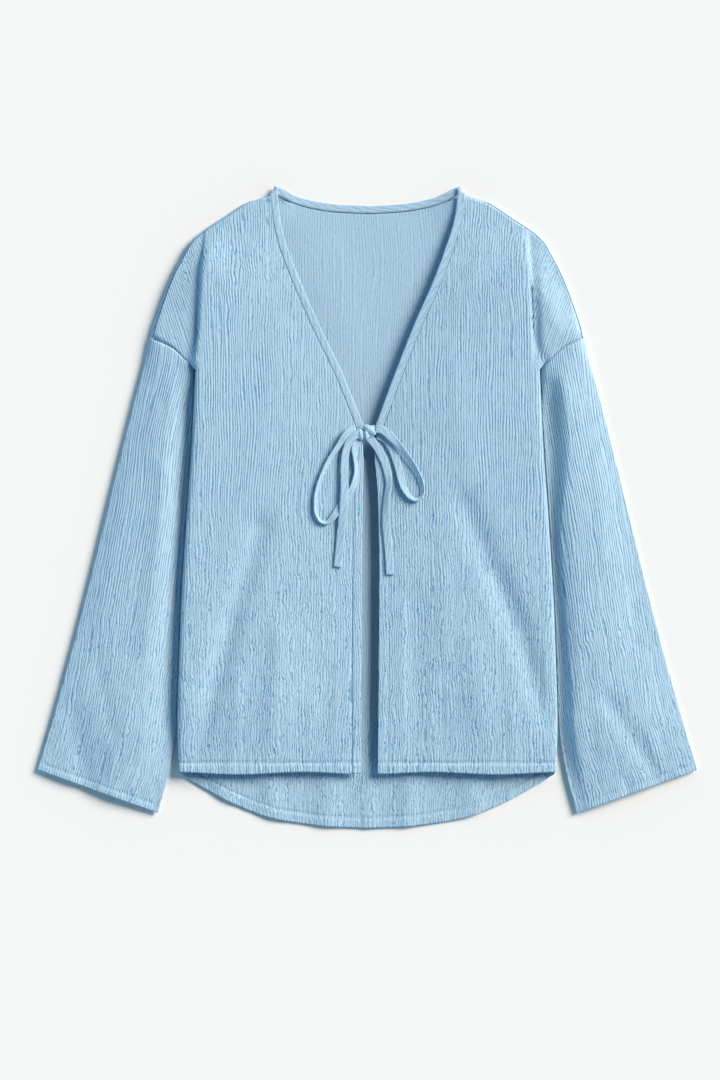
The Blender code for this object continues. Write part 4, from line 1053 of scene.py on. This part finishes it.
@dataclass
class Sleeve:
    """A long wide sleeve: a flattened tube from the armhole to its open cuff."""

    side: Side
    finish: bpy.types.Material
    rows: int = 180
    edge_columns: int = 8
    top_columns: int = 146
    under_columns: int = 28
    crinkle: float = 0.27
    armhole_ease: float = 0.2
    cuff_from: float = 0.82
    cuff_turn: float = 8.0
    turn_rise: float = 0.5
    wall: float = 0.9
    # Shares of the width: with close columns over each edge, and rounded under it
    edge_share: float = 0.08
    round_share: float = 0.07
    # Keeps the sleeve's part of the crinkle apart from the body's
    chart_shift: float = 700.0

    def bulge(self, share: Array) -> Array:
        """Give how far the armhole's curve lies beyond the line between its ends."""
        outer, inner = np.array(FORM.sleeve_outer[0]), np.array(FORM.sleeve_inner[0])
        straight = mix(outer, inner, share[:, None])
        curve = along(FORM.armhole[::-1], share)
        toward = unit(np.array((inner[1] - outer[1], outer[0] - inner[0])))
        reach = (curve - straight) @ toward
        return np.maximum(reach - FORM.seam_gap, 0.0)[:, None] * toward

    def profile(self) -> tuple[Array, Array]:
        """Give shares of the width round the tube, and 1 over and 0 under it."""
        near = self.edge_share * even_shares(self.edge_columns + 1) ** 2
        middle = np.linspace(self.edge_share, 1.0 - self.edge_share, self.top_columns + 1)[1:-1]
        over = np.concatenate((near, middle, 1.0 - near[::-1]))
        turn = self.round_share * even_shares(self.edge_columns) ** 2
        flat = np.linspace(1.0 - self.round_share, self.round_share, self.under_columns)[1:-1]
        under = np.concatenate((1.0 - turn[1:], flat, turn[::-1]))
        return np.concatenate((over, under)), np.concatenate((np.ones(len(over)), np.zeros(len(under))))

    def build(self) -> Cloth:
        lay = FORM.lay(self.side)
        stations = 1.0 - dense_start(self.rows, 10, 0.028)[::-1]
        outer, inner = along(FORM.sleeve_outer, stations), along(FORM.sleeve_inner, stations)
        share, over = self.profile()
        bulge = self.bulge(share)
        lengths = arc_lengths(0.5 * (outer + inner))
        points = np.zeros((len(stations), len(share), 3))
        across = np.zeros(points.shape[:2])
        for r, station in enumerate(stations):
            run = inner[r] - outer[r]
            off_seam = ease(station / self.armhole_ease)
            top = mix(lay.wing_z, lay.sleeve_z, off_seam)
            top = mix(top, FORM.cuff_top_z, ease((station - self.cuff_from) / (1.0 - self.cuff_from)))
            place = outer[r] + share[:, None] * run + (1.0 - off_seam) * bulge
            sink = float(mix(0.5, lay.sink_share, ease((station - 0.1) / 0.3)))
            upper = FORM.sleeve_z(share, float(top), float(ease(station / 0.1)), sink)
            folds = fold_height(lay.sleeve_folds, place[:, 0], place[:, 1])
            folds = folds + fold_height(lay.soft_sleeve_folds, place[:, 0], place[:, 1])
            upper = upper + folds * np.sqrt(np.maximum(np.sin(np.pi * share), 0.0))
            near = np.clip(1.0 - np.minimum(share, 1.0 - share) / self.round_share, 0.0, 1.0)
            lower = FORM.sleeve_edge_z * (1.0 - np.sqrt(1.0 - near ** 2))
            points[r] = np.column_stack((place, np.where(over > 0.5, upper, lower)))
            across[r] = (share - 0.5) * np.linalg.norm(run) + 3.0 * (over < 0.5)
        length = -np.repeat(lengths[:, None], len(share), axis=1)
        to_cuff = lengths[-1] + length
        rough = 0.1 + 0.6 * ease((-length - 140.0) / 330.0)
        rough = np.clip(rough + 0.3 * CRINKLE.noise(across / 60.0, length / 80.0, ROUGH_LAYER), 0.0, 1.0)
        side_fade = ease(np.minimum(share, 1.0 - share) / 0.09)[None]
        amount = self.crinkle * over[None] * mix(0.12, 1.0, side_fade) * mix(0.3, 1.0, ease(-length / 12.0))
        sign = self.side.sign
        points[..., 0] *= sign
        cloth = Cloth(points, sign * across + self.chart_shift * sign, length)
        cloth.crease(amount, rough, sign)
        cloth.points[..., 2] += self.turn_rise * over * ((to_cuff < self.cuff_turn) * side_fade)
        cloth.points[..., 2] -= 0.7 * over * side_fade * bell(to_cuff - self.cuff_turn, 1.5)
        # The seam allowance tucks in under the dropped shoulder
        cloth.points[0, :, 1] += 0.9
        cloth.points[0, :, 2] = mix(cloth.points[0, :, 2], 6.0, 0.08)
        name = f"sleeve_{self.side.value}"
        mesh = grid_mesh(cloth.points, cloth.chart(), closed=True, flipped=self.side is Side.LEFT)
        piece = make_piece("crepe_" + name, mesh, self.finish, name, self.wall)
        shown = int(np.sum(over))
        return Cloth(cloth.points[:, :shown], cloth.across[:, :shown], cloth.length[:, :shown])


# The twill of a folded strip: millimetres from rib to rib, and how clear their bump and the painted shade in
# their valleys are
TWILL_PITCH, TWILL_DEPTH = 2.3, 0.5


def ribbon_points(path: Array, tilts: Array, width: Values, thickness: float,
                  dip: float) -> Array:
    """Sweep a folded strip's rounded section along a path.

    Args:
        path: The strip's middle line, in millimetres.
        tilts: How far it leans about its line at each point, in radians.
        width: Its width, the same all along or at each point.
        thickness: Its thickness.
        dip: How far the middle of its faces sinks between its folded edges.

    Returns:
        Rows of section points, with the last column on the first.
    """
    run = unit(np.gradient(path, axis=0))
    wide = unit(np.cross(run, (0.0, 0.0, 1.0)))
    high = np.cross(wide, run)
    angle = np.linspace(0.0, 2.0 * math.pi, 21)
    a = np.sign(np.cos(angle)) * np.abs(np.cos(angle)) ** 0.42
    b = 0.5 * thickness * np.sign(np.sin(angle)) * np.abs(np.sin(angle)) ** 0.6
    b = b * (1.0 - dip * bell(a, 0.56))
    a = 0.5 * np.broadcast_to(width, len(path))[:, None] * a[None]
    cos, sin = np.cos(tilts)[:, None, None], np.sin(tilts)[:, None, None]
    turned_wide = cos * wide[:, None] + sin * high[:, None]
    turned_high = cos * high[:, None] - sin * wide[:, None]
    return path[:, None] + a[..., None] * turned_wide + b[None, :, None] * turned_high


def even_path(path: Array, step: float) -> Array:
    """Space a path's points evenly."""
    lengths = arc_lengths(path[:, :3])
    return read_at(path, lengths, np.linspace(0.0, lengths[-1], max(2, round(lengths[-1] / step) + 1)))


def strip_piece(name: str, node: str, path: Array, tilts: Array, width: Values,
                thickness: float, finish: bpy.types.Material, dip: float = 0.12,
                waver: float = 0.22) -> bpy.types.Object:
    """Make a folded strip of cloth.

    Args:
        name: The piece's name.
        node: The solid that it stands for.
        path: Its evenly spaced middle line, in millimetres.
        tilts: Its lean in radians at each point.
        width: Its width, the same all along or at each point.
        thickness: Its thickness.
        finish: Its material.
        dip: How far its faces sink between its folded edges.
        waver: How unevenly its faces lie, in millimetres.

    Returns:
        The piece.
    """
    points = ribbon_points(path, tilts, width, thickness, dip)
    rows, columns = points.shape[:2]
    round_it = even_shares(columns)[None]
    across = 2.0 * round_it * (np.broadcast_to(width, rows)[:, None] + thickness)
    length = np.repeat(arc_lengths(path)[:, None], columns, axis=1)
    uneven = CRINKLE.noise(2.0 + 2.5 * np.cos(2.0 * math.pi * round_it), length / 7.0, len(name))
    points = points + waver * uneven[..., None] * unit(points - path[:, None])
    twill = 0.5 * CRINKLE.noise(across / 3.0, length / 14.0, TWILL_LAYER)
    twill = twill + (across + 0.12 * length) / TWILL_PITCH
    chart = (across, length, twill, np.zeros(twill.shape), np.full(twill.shape, TWILL_DEPTH))
    return make_piece(name, grid_mesh(points, chart, closed=True, capped=True), finish, node)


@dataclass
class NeckBinding:
    """The binding of the neck: two side bands beside the fronts' edges, and one round the back neck."""

    finish: bpy.types.Material
    thread: bpy.types.Material
    width: float = 9.0
    thickness: float = 2.6
    start_y: float = 92.5
    end_y: float = 364.7
    top_y: float = 370.6
    # The slanted cut of the top ends starts here, and is full after this reach
    cut_y: float = 352.0
    cut_reach: float = 14.0
    top_slant: float = 0.8
    panel_wall: float = 1.9
    back_gap: float = 0.8
    neck_corner: tuple[float, float] = (111.6, 367.0)
    step: float = 2.4
    # How far the stitches lie inside the band's edge
    stitch_inset: float = 1.4

    def beside(self, line: Array, distance: float) -> Array:
        """Give the path at a distance to the left of another, seen from above."""
        run = unit(np.gradient(line[:, :2], axis=0))
        result = line.copy()
        result[:, 0] -= distance * run[:, 1]
        result[:, 1] += distance * run[:, 0]
        return result

    def band(self, node: str, path: Array) -> bpy.types.Object:
        """Make a band along its middle line."""
        return strip_piece("binding_" + node, node, path, np.zeros(len(path)), self.width, self.thickness,
                           self.finish)

    def sew(self, node: str, line: Array) -> None:
        """Sew a band along a line at the height of its middle."""
        mesh = bmesh.new()
        stitch_line(mesh, line + (0.0, 0.0, 0.5 * self.thickness - 0.1), lift=0.05)
        make_piece(node.replace("neck_band", "binding_stitches"), mesh, self.thread, node, replaces=False)

    def side_band(self, side: Side) -> None:
        """Make one side's band."""
        table = FORM.lay(side).front_edge
        y = np.linspace(self.start_y, self.end_y, 90)
        sinks = ease(((y - FORM.underarm_y) / (table[-1][0] - FORM.underarm_y) - 0.5) / 0.5)
        z = mix(FORM.edge_z(side, y), FORM.shoulder_seam_z, sinks)
        edge = np.column_stack((read_table(table, y), y, z))
        middle = self.beside(edge, 0.5 * self.width + FORM.seam_gap)
        middle[:, 2] -= 0.5 * self.panel_wall
        end = np.array(((middle[-1, 0], self.top_y, middle[-1, 2]),))
        path = even_path(np.concatenate((middle, end)), self.step)
        path[:, 0] *= side.sign
        name = f"neck_band_{side.value}"
        piece = self.band(name, path)
        # The top end is cut along the shoulder, higher toward the neck
        for vertex in piece.data.vertices:
            near_top = float(ease((vertex.co.y / MM - self.cut_y) / self.cut_reach))
            off_middle = abs(vertex.co.x) - abs(path[-1, 0]) * MM
            vertex.co.y -= self.top_slant * near_top * off_middle
        self.sew(name, self.beside(path, (self.stitch_inset - 0.5 * self.width) * side.sign)[2:-3])

    def back_band(self) -> None:
        """Make the band round the back neck."""
        neck = along((*FORM.neck_seam, self.neck_corner), np.linspace(0.0, 1.0, 60))
        half = self.beside(np.column_stack((neck, np.zeros(len(neck)))), 0.5 * self.width + self.back_gap)
        half[:, 2] = 0.5 * self.thickness + FORM.seam_gap + FORM.neck_raise(half[:, 0], half[:, 1])
        whole = np.concatenate((half[:0:-1] * (-1.0, 1.0, 1.0), half))
        path = even_path(whole, self.step)
        piece = self.band("neck_band_back", path)
        self.sew("neck_band_back", self.beside(path, self.stitch_inset - 0.5 * self.width)[3:-3])

    def build(self) -> None:
        """Make all three bands."""
        for side in Side:
            self.side_band(side)
        self.back_band()


@dataclass(frozen=True)
class Tie:
    """A free part of a tie, with its route in rows of x, y, lift and tilt in degrees."""

    node: str
    far_end: str
    route: Table


TIES = (
    Tie("tie_loop_left", "object", (
        (-13.9, 91.4, 3.2, 0), (-19.5, 90.2, 3.4, 10), (-26.5, 83, 3.4, 25), (-34, 72, 1.6, 42),
        (-47, 51.5, 0.4, 50), (-57.9, 24.6, 0.2, 55), (-60.8, 2, 0.2, 58), (-56.9, -13, 0.2, 60),
        (-48.2, -17.2, 0.2, 58), (-40.5, -11, 0.2, 32), (-32, 1, 0.1, 8), (-22.5, 13.5, 0.1, -10),
        (-16.4, 27, 0.1, -40), (-13.4, 43, 0.1, -55), (-14.4, 57, 0.1, -52), (-15, 68, 0.1, -30),
        (-12, 77, 0.1, -16), (-9.5, 81.5, 0.1, 0))),
    Tie("tie_loop_right", "object", (
        (9.1, 92, 4.4, 0), (17, 91, 4.6, 0), (27.5, 82.6, 4.2, 0), (40.6, 67.6, 2.4, -35),
        (53, 50.7, 0.6, -48), (62.6, 31.9, 0.2, -55), (64.4, 17, 0.2, -58), (57.6, 9.6, 0.2, -58),
        (48.2, 14, 0.2, -50), (41.2, 26.9, 0.2, -30), (36.7, 45.7, 0.2, -8), (30.7, 63.6, 0.2, 0),
        (22.5, 78.5, 0.2, 0), (11.8, 84.6, 0.2, 0))),
    Tie("tie_tail_left", "bare", (
        (-6, 87, 3.6, 0), (-14.5, 84, 3.6, 14), (-21.5, 76, 2.6, 20), (-25.4, 65, 1.8, 18),
        (-27, 48, 1.6, 10), (-27, 20, 2.4, 4), (-28.6, -6, 2.6, 0), (-31.6, -34, 0.6, -6),
        (-35, -69, 0.1, 0))),
    Tie("tie_tail_right", "bare", (
        (2, 82, 1.6, 0), (11, 71, 0.8, 0), (18, 58.2, 0.1, 0), (22.4, 45.6, 0.1, 0), (24.9, 27.8, 0.1, -30),
        (22, 9.9, 0.1, -36), (21.6, -15.4, 0.1, -12), (24.2, -45.3, 0.1, 0), (26.3, -78, 0.1, 0))),
)


@dataclass
class TieBow:
    """The bow: a knot, two loops and two flat tails, folded from the same cloth."""

    finish: bpy.types.Material
    width: float = 9.4
    thickness: float = 2.0
    cloth_crinkle: float = 0.5
    # Where a tie stands it leans only this share of its tilt, because it is also gathered slimmer
    lean_share: float = 0.55
    gather: float = 1.05
    knot_base: float = 12.4
    # The knot's strands: x, y, height over its base, length, width, thickness, and turn in degrees
    lumps: Table = (
        (-1.5, 88, 3.2, 19, 13, 7, 0), (-8.2, 85.6, 5, 14, 8.2, 7, 104),
        (1.4, 91.8, 5.8, 14, 9.4, 7.4, -28), (5.8, 89, 4.6, 10, 7.4, 6.4, -52),
        (-1.6, 85.2, 6, 12, 6, 6.4, 96), (-5.4, 93.2, 4.2, 12, 5.6, 5.4, 24),
        (7.2, 93.4, 4, 9, 6, 5, -10),
    )

    def path(self, tie: Tie) -> tuple[Array, Array, Array]:
        """Lay a tie on the fronts.

        Args:
            tie: The tie and its route.

        Returns:
            Its middle line in millimetres, its lean in radians and its width, evenly spaced.
        """
        stations = []
        for x, y, lift, tilt in tie.route:
            width = self.width * math.cos(math.radians(tilt)) ** self.gather
            angle = math.radians(abs(tilt)) * self.lean_share
            half = 0.5 * (width * math.sin(angle) + self.thickness * math.cos(angle))
            z = FORM.front_z_at(x, y) + self.cloth_crinkle + half + lift
            stations.append((x, y, z, tilt * self.lean_share, width))
        even = even_path(smooth_path(np.array(stations)), 1.6)
        return even[:, :3], np.radians(even[:, 3]), even[:, 4]

    def knot(self) -> None:
        """Make the knot: strands of the tie that cross over a soft core."""
        mesh = bmesh.new()
        chart = mesh.loops.layers.uv.new("cloth")
        ribs, depth = (mesh.verts.layers.float.new(name) for name in ("ribs", "depth"))
        for x, y, up, long, wide, thick, turn in self.lumps:
            place = Matrix.Translation(Vector((x, y, self.knot_base + up)) * MM)
            turned = Matrix.Rotation(math.radians(turn), 4, "Z")
            size = Matrix.Diagonal((*(0.5 * side * MM for side in (long, wide, thick)), 1.0))
            lump = bmesh.ops.create_uvsphere(mesh, u_segments=40, v_segments=24, radius=1.0)["verts"]
            for vertex in lump:
                # Lengthwise folds, and ends that stay full
                unit = vertex.co.normalized()
                fold = 1.0 + 0.05 * math.cos(9.0 * unit.y + 1.5 * unit.x)
                vertex.co = Vector((math.copysign(abs(unit.x) ** 0.8, unit.x), unit.y * fold, unit.z * fold))
            bmesh.ops.transform(mesh, matrix=place @ turned @ size, verts=lump)
        for vertex in mesh.verts:
            vertex[ribs] = (vertex.co.x + vertex.co.y) / (TWILL_PITCH * MM)
            vertex[depth] = TWILL_DEPTH
        for face in mesh.faces:
            for loop in face.loops:
                loop[chart].uv = (loop.vert.co.x, loop.vert.co.y)
        make_piece("tie_knot_wrap", mesh, self.finish, "tie_knot")

    def build(self) -> None:
        """Make the knot, the loops and the tails."""
        self.knot()
        for tie in TIES:
            path, tilts, widths = self.path(tie)
            piece = strip_piece("folded_" + tie.node, tie.node, path, tilts, widths, self.thickness,
                                self.finish, dip=0.3, waver=0.2)


@dataclass
class HemStitching:
    """Rows of stitches on the hems, the front edges and the cuffs."""

    thread: bpy.types.Material
    hem: float = 12.4
    edge: float = 9.8
    back_hem: float = 11.0
    cuff: float = 7.6

    def sew(self, name: str, lines: list[Array], node: str) -> None:
        """Sew a few rows as one piece.

        Args:
            name: The piece's name.
            lines: The lines that they follow.
            node: The solid that they lie on.
        """
        mesh = bmesh.new()
        for line in lines:
            stitch_line(mesh, line)
        make_piece(name, mesh, self.thread, node, replaces=False)

    def build(self, fronts: dict[Side, Cloth], sleeves: dict[Side, Cloth], back: Cloth) -> None:
        """Sew all rows on the panels' grids."""
        for side in Side:
            hem = fronts[side].inset(Edge.FIRST_ROW, self.hem)
            edge = fronts[side].inset(Edge.LAST_COLUMN, self.edge)
            edge = edge[edge[:, 1] < 84.0]
            self.sew(f"front_stitches_{side.value}", [hem[12:], edge], f"front_panel_{side.value}")
            cuff = sleeves[side].inset(Edge.LAST_ROW, self.cuff)
            self.sew(f"cuff_stitches_{side.value}", [cuff[8:-8]], f"sleeve_{side.value}")
        hem = back.inset(Edge.FIRST_ROW, self.back_hem)
        self.sew("back_hem_stitches", [hem[14:-14]], "back_panel")


# Stage


@dataclass
class Studio:
    """A pale table seen from straight above, under a broad soft light from the upper right."""

    camera_height: float = 4.0
    frame_height: float = 1.264
    centre: tuple[float, float] = (-0.0088, -0.0374)
    key_power: float = 5.1
    key_spread: float = 28.0
    key_from: tuple[float, float, float] = (0.72, 0.48, 0.50)
    key_distance: float = 2.5
    floor_half: float = 6.0
    key_colour: tuple[float, float, float] = (1.0, 0.88, 0.75)
    sky: tuple[float, float, float, float] = (0.44, 0.75, 1.0, 1.0)
    # The sky's strength at the sides and overhead
    walls: float = 1.24
    overhead: float = 0.06

    def build(self) -> None:
        """Make the camera, the lights and the floor."""
        scene = bpy.context.scene
        scene.view_settings.view_transform = "Standard"
        data = bpy.data.cameras.new("camera")
        data.lens = data.sensor_width * self.camera_height / self.frame_height
        scene.camera = add_object("camera", data)
        scene.camera.location = (*self.centre, self.camera_height)
        key = bpy.data.lights.new("key", "SUN")
        key.energy = self.key_power
        key.angle = math.radians(self.key_spread)
        key.color = self.key_colour
        lamp = add_object("key", key)
        lamp.location = Vector(self.key_from) * self.key_distance
        lamp.rotation_euler = (-lamp.location).to_track_quat("-Z", "Y").to_euler()
        world = bpy.data.worlds.new("studio")
        world.use_nodes = True
        tree = world.node_tree
        way = add_node(tree, "ShaderNodeTexCoord").outputs["Generated"]
        up = add_node(tree, "ShaderNodeSeparateXYZ", None, None, {"Vector": way}).outputs["Z"]
        glow = add_node(tree, "ShaderNodeMapRange", {"interpolation_type": "SMOOTHSTEP"},
                        {"From Min": 0.3, "From Max": 0.8, "To Min": self.walls, "To Max": self.overhead},
                        {"Value": up}).outputs["Result"]
        background = tree.nodes["Background"]
        background.inputs["Color"].default_value = self.sky
        tree.links.new(glow, background.inputs["Strength"])
        scene.world = world
        mesh = bmesh.new()
        bmesh.ops.create_grid(mesh, x_segments=2, y_segments=2, size=self.floor_half)
        floor = add_object("floor", mesh)
        # A table with a coat of matt white paint
        paint, _ = start_finish("matt_white_table", {"Base Color": linear("#F4F3F2"), "Roughness": 0.9})
        floor.data.materials.append(paint)


def main() -> None:
    """Build the studio and the jacket."""
    logging.basicConfig(level=logging.INFO, format="%(name)s %(message)s")
    Studio().build()
    front_cloth, back_cloth, sleeve_cloth = (
        CrepeCotton("crinkled_cotton_" + part).build() for part in ("front", "back", "sleeve"))
    # The binding cloth: its own ridge colour, and painted shade as the darker colour of its valleys
    binding_cloth = CrepeCotton("folded_cotton_binding", "#AFCBE0", "#7FA7C6", bump_depth=0.5).build()
    thread = SewingThread().build()
    TieBow(binding_cloth).build()
    back = BackPanel(back_cloth).build()
    fronts = {side: FrontPanel(side, front_cloth).build() for side in Side}
    sleeves = {side: Sleeve(side, sleeve_cloth).build() for side in Side}
    NeckBinding(binding_cloth, thread).build()
    HemStitching(thread).build(fronts, sleeves, back)


if __name__ == "__main__":
    main()
